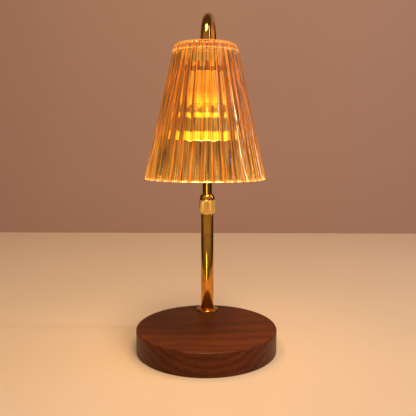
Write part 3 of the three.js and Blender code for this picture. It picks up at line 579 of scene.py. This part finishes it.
CERAMIC = Grained("ceramic_steatite", "#f1ebdd", "#e2d8c4", 0.45, grain_size=0.4 * MM)
STEEL = Grained("steel_zinc_plated", "#b9bcc0", "#8c9095", 0.35, 1.0, 2 * MM)
IRON = Grained("ballast_steel_black", "#5c5e61", "#3c3e40", 0.5, 1.0, 3 * MM)
NYLON = Grained("nylon_natural", "#ece6d8", "#ddd5c2", 0.55)
SILICONE = Grained("silicone_pale", "#dcd2c0", "#c9bda7", 0.6, grain_size=1 * MM)
FOAM = Grained("foam_pad_black", "#262322", "#0e0d0d", 0.95, grain_size=0.5 * MM, relief=0.15 * MM)
BLACK_PLASTIC = Grained("moulded_black_plastic", "#1d1b1a", "#131211", 0.45, grain_size=0.3 * MM)
SHEATH = Grained("lead_sheath_brown", "#40342b", "#2e251f", 0.55)
SATIN_BRASS = Grained("brass_satin_knurled", "#ffdc88", "#ffc262", 0.4, 1.0, 0.25 * MM, 0.02 * MM,
                      tone_span=(0.25, 0.5))
POLISHED_BRASS = PolishedBrass()

# painted light: the cup's brass glows as if lit by the bulb from below
PAINTED_GLOW_BRASS = PolishedBrass("brass_polished_painted_glow", glow_strength=0.44)
LIT_LENS = Grained("lens_lit_warm", "#fff4dc", "#ffe9c0", 0.2, glow="#ffd9a0", glow_strength=20.0)
LIT_CAPSULE = Grained("burner_lit", "#fff2d8", "#ffe6ba", 0.2, glow="#ffc97a", glow_strength=12.0)

KEPT_NODES = {
    FOAM: ("foot_pad",),
    IRON: ("ballast_plate",),
    STEEL: ("ballast_screw_1", "ballast_screw_2", "ballast_screw_3", "terminal_screw", "threaded_nipple",
            "post_washer", "post_nut", "insert_screw_1", "insert_screw_2", "bulb_pin_1", "bulb_pin_2"),
    CERAMIC: ("terminal_block", "holder_insert", "bulb_base"),
    NYLON: ("guide_bush", "clamp_collet", "guide_plug"),
    SHEATH: ("foot_lead", "neck_lead"),
    SILICONE: ("top_gasket", "inner_gasket"),
    POLISHED_BRASS: ("cup_nut", "holder_nut"),
    SATIN_BRASS: ("contact_spring_1", "contact_spring_2"),
    LIT_CAPSULE: ("bulb_capsule",),
}


def select_only(piece: Piece) -> None:
    """Selects one piece alone and makes it active.

    Args:
        piece: The object to select.
    """
    bpy.ops.object.select_all(action="DESELECT")
    bpy.context.view_layer.objects.active = piece
    piece.select_set(True)


def smooth(piece: Piece, degrees: float = 35) -> None:
    """Shades a piece smooth and keeps its crisp edges."""
    select_only(piece)
    bpy.ops.object.shade_smooth_by_angle(angle=math.radians(degrees))


def apply_modifier(piece: Piece, kind: str, **settings: object) -> None:
    """Adds one modifier to a piece, sets it and applies it.

    Args:
        piece: The object to change.
        kind: The modifier's type.
        **settings: The modifier's own properties.
    """
    select_only(piece)
    modifier = piece.modifiers.new(kind.lower(), kind)
    for name, value in settings.items():
        setattr(modifier, name, value)
    bpy.ops.object.modifier_apply(modifier=modifier.name)


def arc(centre: Pair, radius: float, start: float, end: float, steps: int) -> Profile:
    """Points of a profile's round stretch.

    Args:
        centre: Radius and height of the arc's centre.
        radius: The arc's own radius.
        start: First angle in radians, zero pointing outwards.
        end: Last angle.
        steps: Segments along the arc.

    Returns:
        Profile points from the first angle to the last.
    """
    angles = [start + (end - start) * step / steps for step in range(steps + 1)]
    return [(centre[0] + radius * math.cos(a), centre[1] + radius * math.sin(a)) for a in angles]


def soft_edge(edge: float, top: float, radius: float) -> Profile:
    """Points of a profile's rounded top edge, from the side up to the top."""
    return arc((edge - radius, top - radius), radius, 0, QUARTER, ROUND_STEPS)


def dome(edge: Pair, top: Pair, steps: int) -> Profile:
    """Points of a dome's profile, a quarter of an ellipse from its edge, which is left out, to its top."""
    angles = [QUARTER * step / steps for step in range(1, steps + 1)]
    return [(top[0] + (edge[0] - top[0]) * math.cos(a), edge[1] + (top[1] - edge[1]) * math.sin(a))
            for a in angles]


def plain_ring(_: float) -> float:
    """Share of the radius all round a plain ring."""
    return 1.0


class Turning:
    """A piece on the wheel: a ring of edges, extruded and resized from point to point of its profile."""

    def __init__(self, name: str, sides: int, start: Pair, solid: bool = False) -> None:
        """Starts the piece with one circle about the Z axis.

        Args:
            name: The piece's name.
            sides: Vertices round the circle.
            start: Radius and height of the profile's first point.
            solid: Whether the circle is filled, so that the piece has two closed ends.
        """
        self.radius, self.height = start
        self.solid = solid
        bpy.ops.object.select_all(action="DESELECT")
        fill = "TRIFAN" if solid else "NOTHING"
        bpy.ops.mesh.primitive_circle_add(vertices=sides, radius=self.radius, fill_type=fill)
        self.piece = bpy.context.object
        self.piece.name = self.piece.data.name = name
        bpy.ops.object.mode_set(mode="EDIT")
        bpy.ops.mesh.select_all(action="SELECT")
        bpy.ops.transform.translate(value=(0, 0, self.height))

    def to(self, radius: float, height: float) -> "Turning":
        """Extrudes the ring to the profile's next point and resizes it there.

        Args:
            radius: The point's radius.
            height: The point's height.

        Returns:
            The turning itself.
        """
        move = {"value": (0, 0, height - self.height)}
        if self.solid:
            bpy.ops.mesh.extrude_region_move(TRANSFORM_OT_translate=move)
        else:
            bpy.ops.mesh.extrude_edges_move(TRANSFORM_OT_translate=move)
        share = radius / self.radius
        bpy.ops.transform.resize(value=(share, share, 1), center_override=(0, 0, height))
        self.radius, self.height = radius, height
        return self

    def through(self, profile: Iterable[Pair]) -> "Turning":
        """Extrudes the ring through all points of a profile.

        Args:
            profile: The points' radii and heights.

        Returns:
            The turning itself.
        """
        for radius, height in profile:
            self.to(radius, height)
        return self

    def shape(self, reach: Callable[[float], float]) -> "Turning":
        """Moves the ring's vertices in or out.

        Args:
            reach: Share of the ring's radius at an angle in radians.

        Returns:
            The turning itself.
        """
        mesh = bmesh.from_edit_mesh(self.piece.data)
        for vertex in (v for v in mesh.verts if v.select):
            angle = math.atan2(vertex.co.y, vertex.co.x)
            radius = self.radius * reach(angle)
            vertex.co.x, vertex.co.y = radius * math.cos(angle), radius * math.sin(angle)
        bmesh.update_edit_mesh(self.piece.data)
        return self

    def shift(self, sideways: float, rise: float) -> "Turning":
        """Extrudes the ring upwards and to the right without resizing it.

        Args:
            sideways: How far to the right.
            rise: How far up.

        Returns:
            The turning itself.
        """
        bpy.ops.mesh.extrude_edges_move(TRANSFORM_OT_translate={"value": (sideways, 0, rise)})
        self.height += rise
        return self

    def bend(self, steps: int, angle: float, centre: Vector, across: Vector) -> "Turning":
        """Spins the ring over to the front, about a level line that points to the right, at its height."""
        bpy.ops.mesh.spin(steps=steps, angle=-angle, center=(centre.x, centre.y, self.height), axis=across)
        return self

    def finish(self, place: Matrix, smooth_degrees: float = 35) -> Piece:
        """Merges the ends, turns the faces outwards, smooths them and puts the piece in its place.

        Args:
            place: Where the piece's own axis and zero height lie.
            smooth_degrees: Edges sharper than this stay crisp.

        Returns:
            The finished object, with its place in its mesh.
        """
        bpy.ops.mesh.select_all(action="SELECT")
        bpy.ops.mesh.remove_doubles(threshold=MERGE)
        bpy.ops.mesh.normals_make_consistent(inside=False)
        bpy.ops.object.mode_set(mode="OBJECT")
        self.piece.matrix_world = place
        bpy.ops.object.transform_apply(location=True, rotation=True, scale=True)
        smooth(self.piece, smooth_degrees)
        return self.piece


def turned(name: str, profile: Profile, place: Matrix, sides: int = SIDES, solid: bool = False) -> Piece:
    """Turns a whole piece.

    Args:
        name: The piece's name.
        profile: Its points. A hollow piece's profile closes from the last one to the first.
        place: Where its own axis and zero height lie.
        sides: Vertices round it.
        solid: Whether the first and the last point bound closed ends instead.

    Returns:
        The finished object.
    """
    start, *rest = profile
    return Turning(name, sides, start, solid).through(rest if solid else [*rest, start]).finish(place)


def wear(piece: Piece, finish: Finish, body: Body, slot: Slot, *nodes: str) -> None:
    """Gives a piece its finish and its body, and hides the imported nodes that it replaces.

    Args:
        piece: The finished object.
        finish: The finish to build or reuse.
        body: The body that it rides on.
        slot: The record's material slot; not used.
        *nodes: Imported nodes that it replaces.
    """
    finish.paint(piece)
    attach(piece, body.value)
    if nodes:
        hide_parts(*nodes)
    log.info("%s: %d faces, rides on %s", piece.name, len(piece.data.polygons), body.value)


@dataclass
class WalnutFoot:
    """The round foot: a walnut disc with softened edges, a recess for the post and pockets below."""

    sides: int = 192
    top_round: float = 1.6 * MM
    bottom_round: float = 0.8 * MM
    bottom_steps: int = 5
    clearance: float = 0.3 * MM
    crisp_degrees: float = 25

    def cutter(self, node: str, bottom: float, top: float) -> Piece:
        """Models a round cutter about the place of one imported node.

        Args:
            node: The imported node's name.
            bottom: Height of the cutter's bottom.
            top: Height of its top.

        Returns:
            The cutter.
        """
        low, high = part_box(node)
        centre = (low + high) / 2
        bpy.ops.object.select_all(action="DESELECT")
        bpy.ops.mesh.primitive_cylinder_add(
            vertices=SIDES, radius=(high.x - low.x) / 2 + self.clearance, depth=top - bottom,
            location=(centre.x, centre.y, (top + bottom) / 2))
        return bpy.context.object

    def build(self) -> None:
        """Models the disc, eases its two edges and cuts the recess and the pockets."""
        low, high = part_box("wood_base")
        bottom_edge = (high.x - self.bottom_round, low.z + self.bottom_round)
        profile = [(bottom_edge[0], low.z),
                   *arc(bottom_edge, self.bottom_round, -QUARTER, 0, self.bottom_steps)[1:],
                   *soft_edge(high.x, high.z, self.top_round)]
        piece = turned("walnut_foot", profile, Matrix.Identity(4), self.sides, solid=True)
        under, over = low.z - OVERRUN, high.z + OVERRUN
        cutters = [
            self.cutter("post_flange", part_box("post_flange")[0].z, over),
            self.cutter("threaded_nipple", under, over),
            self.cutter("ballast_plate", under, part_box("ballast_plate")[1].z),
        ]
        for tool in cutters:
            apply_modifier(piece, "BOOLEAN", object=tool, operation="DIFFERENCE", solver="EXACT")
            bpy.data.objects.remove(tool)
        smooth(piece, self.crisp_degrees)
        wear(piece, Walnut(), Body.BASE, Slot.WALNUT, "wood_base")


@dataclass
class Post:
    """The fixed post: a domed flange and the outer tube."""

    bore_clearance: float = 0.3 * MM
    lip: float = 0.35 * MM
    flange_rim: float = 1.4 * MM
    flange_shoulder: float = 7.4 * MM
    flange_steps: int = 14
    wall: float = 0.6 * MM
    plug_height: float = 6 * MM

    def bore(self) -> float:
        """Returns the radius of the holes that the nipple passes."""
        return spans("threaded_nipple", post_place())[1].x + self.bore_clearance

    def flange(self) -> None:
        """Models the domed ring at the post's foot."""
        place, bore = post_place(), self.bore()
        low, high = spans("post_flange", place)
        edge, rim = high.x, low.z + self.flange_rim
        profile = [(bore, low.z), (edge - self.lip, low.z), (edge, low.z + self.lip), (edge, rim),
                   *dome((edge, rim), (self.flange_shoulder, high.z), self.flange_steps), (bore, high.z)]
        piece = turned("post_flange_ring", profile, place)
        wear(piece, POLISHED_BRASS, Body.BASE, Slot.POLISHED_BRASS, "post_flange")

    def tube(self) -> None:
        """Models the outer tube with its wall and its plugged foot."""
        place, bore = post_place(), self.bore()
        low, high = spans("outer_tube", place)
        edge, inside, plug_top = high.x, high.x - self.wall, low.z + self.plug_height
        profile = [(bore, low.z), (edge - self.lip, low.z), (edge, low.z + self.lip),
                   (edge, high.z - self.lip), (edge - self.lip / 2, high.z), (inside, high.z),
                   (inside, plug_top), (bore, plug_top)]
        piece = turned("outer_tube_shell", profile, place)
        wear(piece, POLISHED_BRASS, Body.BASE, Slot.POLISHED_BRASS, "outer_tube")

    def build(self) -> None:
        """Models both pieces."""
        self.flange()
        self.tube()


@dataclass
class LockNut:
    """The nut that locks the telescope: a straight-knurled grip under a polished dome."""

    teeth: int = 66
    steps_per_tooth: int = 4
    tooth_depth: float = 0.28 * MM
    tooth_power: float = 1.5
    band: float = 0.9 * MM
    chamfer: float = 0.4 * MM
    crisp_degrees: float = 40
    dome_height: float = 5.8 * MM
    dome_radius: float = 8.15 * MM
    dome_steps: int = 16
    mouth: float = 5.7 * MM
    wall_inside: float = 7 * MM
    lip: float = 1.5 * MM
    lip_step: float = 1 * MM

    def build(self) -> None:
        """Models the grip and the dome."""
        self.grip()
        self.cap()

    def grip(self) -> None:
        """Models the knurled grip between two plain bands."""
        place = post_place()
        low, high = spans("lock_nut", place)
        bottom, top, radius = low.z, high.z - self.dome_height, high.x
        band, chamfer, valley = self.band, self.chamfer, radius - self.tooth_depth

        def tooth(angle: float) -> float:
            """Share of the crest radius at an angle of the knurl."""
            phase = (angle / math.tau * self.teeth) % 1
            dip = (0.5 + 0.5 * math.cos(math.tau * phase)) ** self.tooth_power
            return 1 - self.tooth_depth / radius * dip

        grip = Turning("knurled_grip", self.teeth * self.steps_per_tooth, (self.wall_inside, bottom))
        grip.through([(radius - chamfer, bottom), (radius, bottom + chamfer), (radius, bottom + band),
                      (valley, bottom + band + chamfer / 2)])
        grip.to(radius, bottom + band + chamfer).shape(tooth)
        grip.to(radius, top - band - chamfer)
        grip.to(valley, top - band - chamfer / 2).shape(plain_ring)
        grip.through([(radius, top - band), (radius, top - chamfer), (radius - chamfer, top),
                      (self.wall_inside, top), (self.wall_inside, bottom)])
        piece = grip.finish(place, self.crisp_degrees)
        wear(piece, SATIN_BRASS, Body.NUT, Slot.SATIN_BRASS, "lock_nut")

    def cap(self) -> None:
        """Models the polished dome over the grip."""
        place = post_place()
        top = spans("lock_nut", place)[1].z
        bottom, bore = top - self.dome_height, Gooseneck().close_bore()
        profile = [(self.wall_inside, bottom), (self.dome_radius, bottom),
                   *dome((self.dome_radius, bottom), (self.mouth, top), self.dome_steps),
                   (bore, top), (bore, top - self.lip), (self.wall_inside - self.lip_step, top - self.lip)]
        piece = turned("nut_dome", profile, place)
        wear(piece, POLISHED_BRASS, Body.NUT, Slot.POLISHED_BRASS)


@dataclass
class Gooseneck:
    """The inner tube: up out of the post, set over to the right, then over in a bend and into the shade."""

    sides: int = 64
    radius: float = 5 * MM
    wall: float = 1 * MM
    set_over: float = 4.7 * MM
    set_over_length: float = 91 * MM
    set_over_steps: int = 24
    bend_radius: float = 32 * MM
    bend_steps: int = 72
    leg: float = 26.1 * MM
    play: float = 0.7 * MM
    fit: float = 0.3 * MM
    collar_round: float = 0.3 * MM
    collar_steps: int = 3
    collar_crisp: float = math.radians(30)

    def tube(self) -> None:
        """Models the bent tube and gives it its wall."""
        place = post_place()
        low, high = spans("neck_tube", place)
        across, _, up = hanger_place().to_3x3().transposed()
        bend_bottom = high.z - self.bend_radius - self.radius
        tube = Turning("gooseneck_tube", self.sides, (self.radius, low.z))
        tube.to(self.radius, bend_bottom - self.set_over_length)
        places = [self.sideways(step / self.set_over_steps) for step in range(self.set_over_steps + 1)]
        for near, far in zip(places, places[1:]):
            tube.shift(far - near, self.set_over_length / self.set_over_steps)
        centre = Vector((self.set_over, 0, 0)) + across.cross(Vector((0, 0, self.bend_radius)))
        tube.bend(self.bend_steps, math.pi - math.acos(up.z), centre, across)
        bpy.ops.mesh.extrude_edges_move(TRANSFORM_OT_translate={"value": -up * self.leg})
        piece = tube.finish(place)
        apply_modifier(piece, "SOLIDIFY", thickness=self.wall, offset=-1, use_even_offset=True)
        smooth(piece)
        wear(piece, POLISHED_BRASS, Body.ARM, Slot.POLISHED_BRASS, "neck_tube")

    def sideways(self, share: float) -> float:
        """Returns how far the tube is set over at a share of the set-over's length."""
        return self.set_over * share**2 * (3 - 2 * share)

    def collar(self) -> None:
        """Models the disc that holds the shade up from above."""
        place = hanger_place()
        low, high = spans("neck_flange", place)
        bore = self.loose_bore()
        profile = [(bore, low.z), (high.x, low.z), (high.x, high.z), (bore, high.z)]
        piece = turned("neck_collar", profile, place)
        apply_modifier(piece, "BEVEL", width=self.collar_round, segments=self.collar_steps,
                       limit_method="ANGLE", angle_limit=self.collar_crisp, miter_outer="MITER_ARC")
        smooth(piece)
        wear(piece, POLISHED_BRASS, Body.ARM, Slot.POLISHED_BRASS, "neck_flange")

    def loose_bore(self) -> float:
        """Returns the radius of the holes that the tube passes with play: the shade's and the collar's."""
        return self.radius + self.play

    def close_bore(self) -> float:
        """Returns the radius of the holes that fit the tube."""
        return self.radius + self.fit

    def build(self) -> None:
        """Models the tube and the collar."""
        self.tube()
        self.collar()


@dataclass
class Shade:
    """The reeded glass shade and the gold cup under its thick top."""

    reeds: int = 36
    steps_per_reed: int = 20
    reed_depth: float = 1.8 * MM
    depth_power: float = 0.5
    valley_fillet: float = 0.5 * MM
    reed_turn: float = math.radians(2.5)
    wall: float = 4.4 * MM
    rim_radius: float = 57 * MM
    top_radius: float = 29 * MM
    top_thickness: float = 7.5 * MM
    shoulder: float = 6 * MM
    shoulder_steps: int = 10
    inner_shoulder: float = 3 * MM
    rim_round: float = 1.2 * MM
    round_steps: int = 6
    start_share: float = 0.985
    outer_levels: int = 10
    inner_levels: int = 4
    hole_chamfer: float = 1 * MM
    lip: float = 0.7 * MM
    lip_middle: Pair = (0.15 * MM, 0.2 * MM)
    crisp_degrees: float = 50
    cup_wall: float = 1.2 * MM
    cup_round: float = 1.5 * MM

    def reeds_at(self, crest: float) -> Callable[[float], float]:
        """Round ridges that meet in softened valleys.

        Args:
            crest: Radius over the reeds at one height.

        Returns:
            The share of that radius at an angle in radians.
        """
        half = math.pi / self.reeds
        half_width = crest * math.sin(half)
        depth = self.reed_depth * (crest / self.rim_radius) ** self.depth_power
        ridge = (half_width**2 + depth**2) / (2 * depth)
        centre = crest - ridge

        def ridge_reach(local: float) -> float:
            """Radius of one ridge's circle at an angle from its crest."""
            inside = max(ridge**2 - (centre * math.sin(local)) ** 2, 0)
            return centre * math.cos(local) + math.sqrt(inside)

        def reed(angle: float) -> float:
            """Share of the crest radius at an angle."""
            local = angle % (2 * half) - half
            near, next_one = ridge_reach(local), ridge_reach(2 * half - abs(local))
            blend = max(self.valley_fillet - (near - next_one), 0) / self.valley_fillet
            return (near + blend**2 * self.valley_fillet / 4) / crest

        return reed

    def glass(self) -> None:
        """Models the shade: out over the rim, up the reeds, over the shoulder and down the smooth inside."""
        place = hanger_place()
        low, high = spans("glass_shade", place)
        bottom, top = low.z, high.z
        slope = math.atan2(self.rim_radius - self.top_radius, top - bottom)
        ceiling = top - self.top_thickness
        hole, half_chamfer = Gooseneck().loose_bore(), self.hole_chamfer / 2

        def crest(height: float) -> float:
            """Radius over the reeds at a height."""
            return self.rim_radius - (height - bottom) * math.tan(slope)

        def inner(height: float) -> float:
            """Radius of the smooth inside at a height."""
            return crest(height) - self.wall / math.cos(slope)

        def rounded(level: float, inset: float, radius: float) -> Pair:
            """Centre of a shoulder's arc under a level."""
            return crest(level - radius) - (inset + radius) / math.cos(slope), level - radius

        outside = arc((crest(bottom + self.rim_round) - self.rim_round, bottom + self.rim_round),
                      self.rim_round, -QUARTER, slope, self.round_steps)
        start = (outside[0][0] * self.start_share, bottom)
        turn = rounded(top, 0, self.shoulder)
        heights = [bottom + level / self.outer_levels * (turn[1] - bottom)
                   for level in range(1, self.outer_levels)]
        outside += [(crest(height), height) for height in heights]
        outside += arc(turn, self.shoulder, slope, QUARTER, self.shoulder_steps)
        glass = Turning("reeded_shade", self.reeds * self.steps_per_reed, start)
        glass.shape(self.reeds_at(start[0]))
        for radius, height in outside:
            glass.to(radius, height).shape(self.reeds_at(radius))
        glass.to(hole + self.hole_chamfer, top).shape(plain_ring)
        glass.through([(hole, top - half_chamfer), (hole, ceiling + half_chamfer),
                       (hole + half_chamfer, ceiling)])
        inner_turn = rounded(ceiling, self.wall, self.inner_shoulder)
        glass.through(reversed(arc(inner_turn, self.inner_shoulder, slope, QUARTER, self.round_steps)))
        for level in range(self.inner_levels - 1, 0, -1):
            height = bottom + level / self.inner_levels * (ceiling - bottom)
            glass.to(inner(height), height)
        edge = inner(bottom)
        glass.through([(edge - self.lip * math.tan(slope), bottom + self.lip),
                       (edge + self.lip_middle[0], bottom + self.lip_middle[1]), (edge + self.lip, bottom)])
        glass.to(*start).shape(self.reeds_at(start[0]))
        piece = glass.finish(place @ Matrix.Rotation(self.reed_turn, 4, "Z"), self.crisp_degrees)
        wear(piece, AmberGlass(), Body.ARM, Slot.AMBER_GLASS, "glass_shade")

    def cup(self) -> None:
        """Models the gold cup that clamps the shade from below."""
        place = hanger_place()
        low, high = spans("shade_cup", place)
        edge, ceiling, hole = high.x, high.z - self.cup_wall, Gooseneck().close_bore()
        profile = [(hole, ceiling), (edge - self.cup_wall, ceiling), (edge - self.cup_wall, low.z),
                   (edge, low.z), *soft_edge(edge, high.z, self.cup_round), (hole, high.z)]
        piece = turned("shade_cup_spun", profile, place)
        wear(piece, PAINTED_GLOW_BRASS, Body.ARM, Slot.POLISHED_BRASS, "shade_cup")

    def build(self) -> None:
        """Models both pieces."""
        self.glass()
        self.cup()


@dataclass
class Lampholder:
    """The moulded housing that the bulb locks into."""

    wall: float = 1.6 * MM
    top: float = 2 * MM
    round_over: float = 1.2 * MM
    inner_lip: float = 0.3 * MM
    outer_lip: float = 0.4 * MM

    def build(self) -> None:
        """Models the housing with its soft top edge and its eased mouth."""
        place = hanger_place()
        low, high = spans("holder_housing", place)
        edge, inside, ceiling = high.x, high.x - self.wall, high.z - self.top
        hole = Gooseneck().close_bore()
        profile = [(hole, ceiling), (inside, ceiling), (inside, low.z + self.inner_lip),
                   (inside + self.inner_lip, low.z), (edge - self.outer_lip, low.z),
                   (edge, low.z + self.outer_lip), *soft_edge(edge, high.z, self.round_over),
                   (hole, high.z)]
        piece = turned("lampholder_housing", profile, place)
        wear(piece, GlowingHolder(), Body.ARM, Slot.IVORY_PLASTIC, "holder_housing")


@dataclass
class SpotBulb:
    """The spot bulb: a coated glass reflector whose uncoated bands glow, and its lens."""

    neck: float = 11.2 * MM
    base_gap: float = 0.6 * MM
    flare_power: float = 1.6
    flare_steps: int = 20
    rim_share: float = 0.07
    rim_round: float = 0.4 * MM
    glass: float = 1.4 * MM
    lens_sag: float = 0.5 * MM
    lens_edge: float = 0.2 * MM
    lens_start_share: float = 0.25
    lens_ring_shares: tuple[float, ...] = (0.5, 0.75, 0.95)
    lens_back_share: float = 0.3

    def shell(self) -> None:
        """Models the reflector's glass, from its neck to its rim."""
        place = hanger_place()
        low, high = spans("bulb_reflector", place)
        mouth = high.x
        flare_top = spans("bulb_base", place)[0].z - self.base_gap
        rim = low.z + (flare_top - low.z) * self.rim_share
        flare = []
        for step in range(self.flare_steps + 1):
            share = step / self.flare_steps
            growth = 1 - (1 - share) ** self.flare_power
            flare.append((self.neck + growth * (mouth - self.neck), flare_top + share * (rim - flare_top)))
        inside = [(radius - self.glass, height) for radius, height in flare]
        inside.append((mouth - self.glass, low.z))
        profile = [(self.neck - self.glass, high.z), (self.neck, high.z), *flare,
                   (mouth, low.z + self.rim_round), (mouth - self.rim_round, low.z), *reversed(inside)]
        piece = turned("bulb_shell", profile, place)
        wear(piece, GlowingReflector(), Body.BULB, Slot.REFLECTOR_GLASS, "bulb_reflector")

    def lens(self) -> None:
        """Models the front lens, gently domed."""
        place = hanger_place()
        low, high = spans("bulb_lens", place)
        edge = high.x
        profile = [(edge * self.lens_start_share, low.z),
                   *((edge * share, low.z + self.lens_sag * share**2) for share in self.lens_ring_shares),
                   (edge, low.z + self.lens_sag + self.lens_edge), (edge, high.z),
                   (edge * self.lens_back_share, high.z)]
        piece = turned("bulb_front_lens", profile, place, solid=True)
        wear(piece, LIT_LENS, Body.BULB, Slot.LIT_GLASS, "bulb_lens")

    def build(self) -> None:
        """Models both pieces."""
        self.shell()
        self.lens()


@dataclass
class CordInlet:
    """The flanged bush where the cord enters the foot's rear edge."""

    sides: int = 64
    bore: float = 3.2 * MM
    bore_round: float = 0.5 * MM
    sleeve: float = 4.2 * MM
    lip: float = 0.2 * MM
    shoulder: float = 0.7 * MM
    flange_round: float = 0.9 * MM
    flange_steps: int = 5

    def build(self) -> None:
        """Models the bush about its own axis and lays it into the rear edge."""
        low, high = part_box("cord_inlet_bush")
        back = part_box("wood_base")[1].y
        flange, shoulder = high.x, back + self.shoulder
        profile = [(self.bore, low.y), (self.sleeve, low.y), (self.sleeve, back), (flange - self.lip, back),
                   (flange, back + self.lip), (flange, shoulder),
                   *arc((flange - self.flange_round, shoulder), self.flange_round, 0, QUARTER,
                        self.flange_steps)[1:],
                   (self.bore + self.bore_round, high.y), (self.bore, high.y - self.bore_round)]
        place = Matrix.Translation((0, 0, (low.z + high.z) / 2)) @ Matrix.Rotation(-QUARTER, 4, "X")
        piece = turned("cord_inlet_ring", profile, place, self.sides)
        wear(piece, BLACK_PLASTIC, Body.BASE, Slot.BLACK_PLASTIC, "cord_inlet_bush")


def dress_kept_nodes() -> None:
    """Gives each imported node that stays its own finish."""
    for finish, names in KEPT_NODES.items():
        for name in names:
            finish.paint(frame["nodes"][name])
            log.info("%s: kept, wears %s", name, finish.name)


@dataclass(frozen=True)
class Lamp:
    """One soft lamp: where it hangs, its width and height, its watts and its sRGB colour."""

    name: str
    place: Place
    size: Pair
    power: float
    colour: str

    def hang(self, aim: Vector) -> None:
        """Hangs the lamp.

        Args:
            aim: What it points at.
        """
        data = bpy.data.lights.new(self.name, "AREA")
        data.shape = "RECTANGLE"
        data.size, data.size_y = self.size
        data.energy = self.power
        data.color = linear(self.colour)[:3]
        lamp = bpy.data.objects.new(self.name, data)
        lamp.location = self.place
        lamp.rotation_euler = (aim - Vector(self.place)).to_track_quat("-Z", "Y").to_euler()
        bpy.context.scene.collection.objects.link(lamp)


@dataclass
class Studio:
    """A pale table and a wall, soft lamps and the photograph's camera."""

    focal_px: float = 596
    image_px: float = 416
    sensor_mm: float = 36
    distance: float = 574 * MM
    eye_height: float = 228.7 * MM
    side_step: float = 1.6 * MM
    pitch: float = math.radians(8.44)
    turn: float = math.radians(0.9)
    table_size: Pair = (1.3, 1.0)
    wall_size: Pair = (0.96, 1.0)
    wall_back: float = 0.62
    aim: Place = (0, 0, 0.17)
    lamps: tuple[Lamp, ...] = (
        Lamp("key", (0.1, -0.35, 1.2), (0.35, 0.35), 13.5, "#ffdab4"),
        Lamp("window", (0.85, 0.02, 0.68), (0.06, 0.9), 2.4, "#c8d6ff"),
        Lamp("bounce", (-0.2, -1.0, 0.02), (0.12, 0.2), 0.85, "#ffdcb0"))
    sky: str = "#d6c6b6"
    sky_span: Pair = (-0.2, 0.15)
    sky_strengths: Pair = (0.06, 0.6)
    front_span: Pair = (-0.6, 0)
    back_share: float = 0.22

    def camera(self) -> None:
        """Puts the camera where the photograph was taken from."""
        data = bpy.data.cameras.new("photo_camera")
        data.sensor_width = self.sensor_mm
        data.lens = self.focal_px / self.image_px * self.sensor_mm
        camera = bpy.data.objects.new("photo_camera", data)
        way_round = Matrix.Rotation(self.turn, 3, "Z")
        camera.location = way_round @ Vector((self.side_step, -self.distance, self.eye_height))
        camera.rotation_euler = (QUARTER - self.pitch, 0, self.turn)
        bpy.context.scene.collection.objects.link(camera)
        bpy.context.scene.camera = camera

    def sheet(self, name: str, place: Place, tilt: float, size: Pair, coat: Painted) -> Piece:
        """Models one flat sheet of the room.

        Args:
            name: The sheet's name.
            place: Its middle.
            tilt: Its angle from level, in radians.
            size: Its width and its depth or height.
            coat: Its paint.

        Returns:
            The sheet.
        """
        bpy.ops.object.select_all(action="DESELECT")
        bpy.ops.mesh.primitive_plane_add(size=1, location=place, rotation=(tilt, 0, 0))
        piece = bpy.context.object
        piece.name = name
        piece.scale = (*size, 1)
        coat.paint(piece)
        return piece

    def room(self) -> None:
        """Models the table and the wall behind it."""
        table_place = (0, self.wall_back - self.table_size[1] / 2, 0)
        table = self.sheet("table_top", table_place, 0, self.table_size, TABLE_PAINT)
        wall_place = (0, self.wall_back, self.wall_size[1] / 2)
        wall = self.sheet("wall", wall_place, QUARTER, self.wall_size, WALL_PAINT)

    def light(self) -> None:
        """Hangs the lamps and sets the world's fill, darker at the sides, behind and below the table."""
        for lamp in self.lamps:
            lamp.hang(Vector(self.aim))
        world = bpy.data.worlds.new("soft_room")
        world.use_nodes = True
        add = partial(add_node, world.node_tree)
        parts = add("SeparateXYZ", (add("TexCoord").outputs["Generated"],))
        height = add("MapRange", (parts.outputs["Z"], *self.sky_span, *self.sky_strengths))
        side = add("MapRange", (parts.outputs["Y"], *self.front_span, 1, self.back_share))
        strength = add("Math", (height, side), operation="MULTIPLY")
        plug(world.node_tree.nodes["Background"], {"Color": linear(self.sky), "Strength": strength})
        bpy.context.scene.world = world

    def build(self) -> None:
        """Sets up the room, the lamps and the camera."""
        bpy.context.scene.view_settings.view_transform = "Standard"
        self.camera()
        self.room()
        self.light()


def main() -> None:
    """Builds the studio and every piece of the lamp."""
    for part in (Studio(), WalnutFoot(), Post(), LockNut(), Gooseneck(), Shade(), Lampholder(), SpotBulb(),
                 CordInlet()):
        part.build()
    dress_kept_nodes()


if __name__ == "__main__":
    logging.basicConfig(level=logging.INFO, format="%(message)s")
    main()
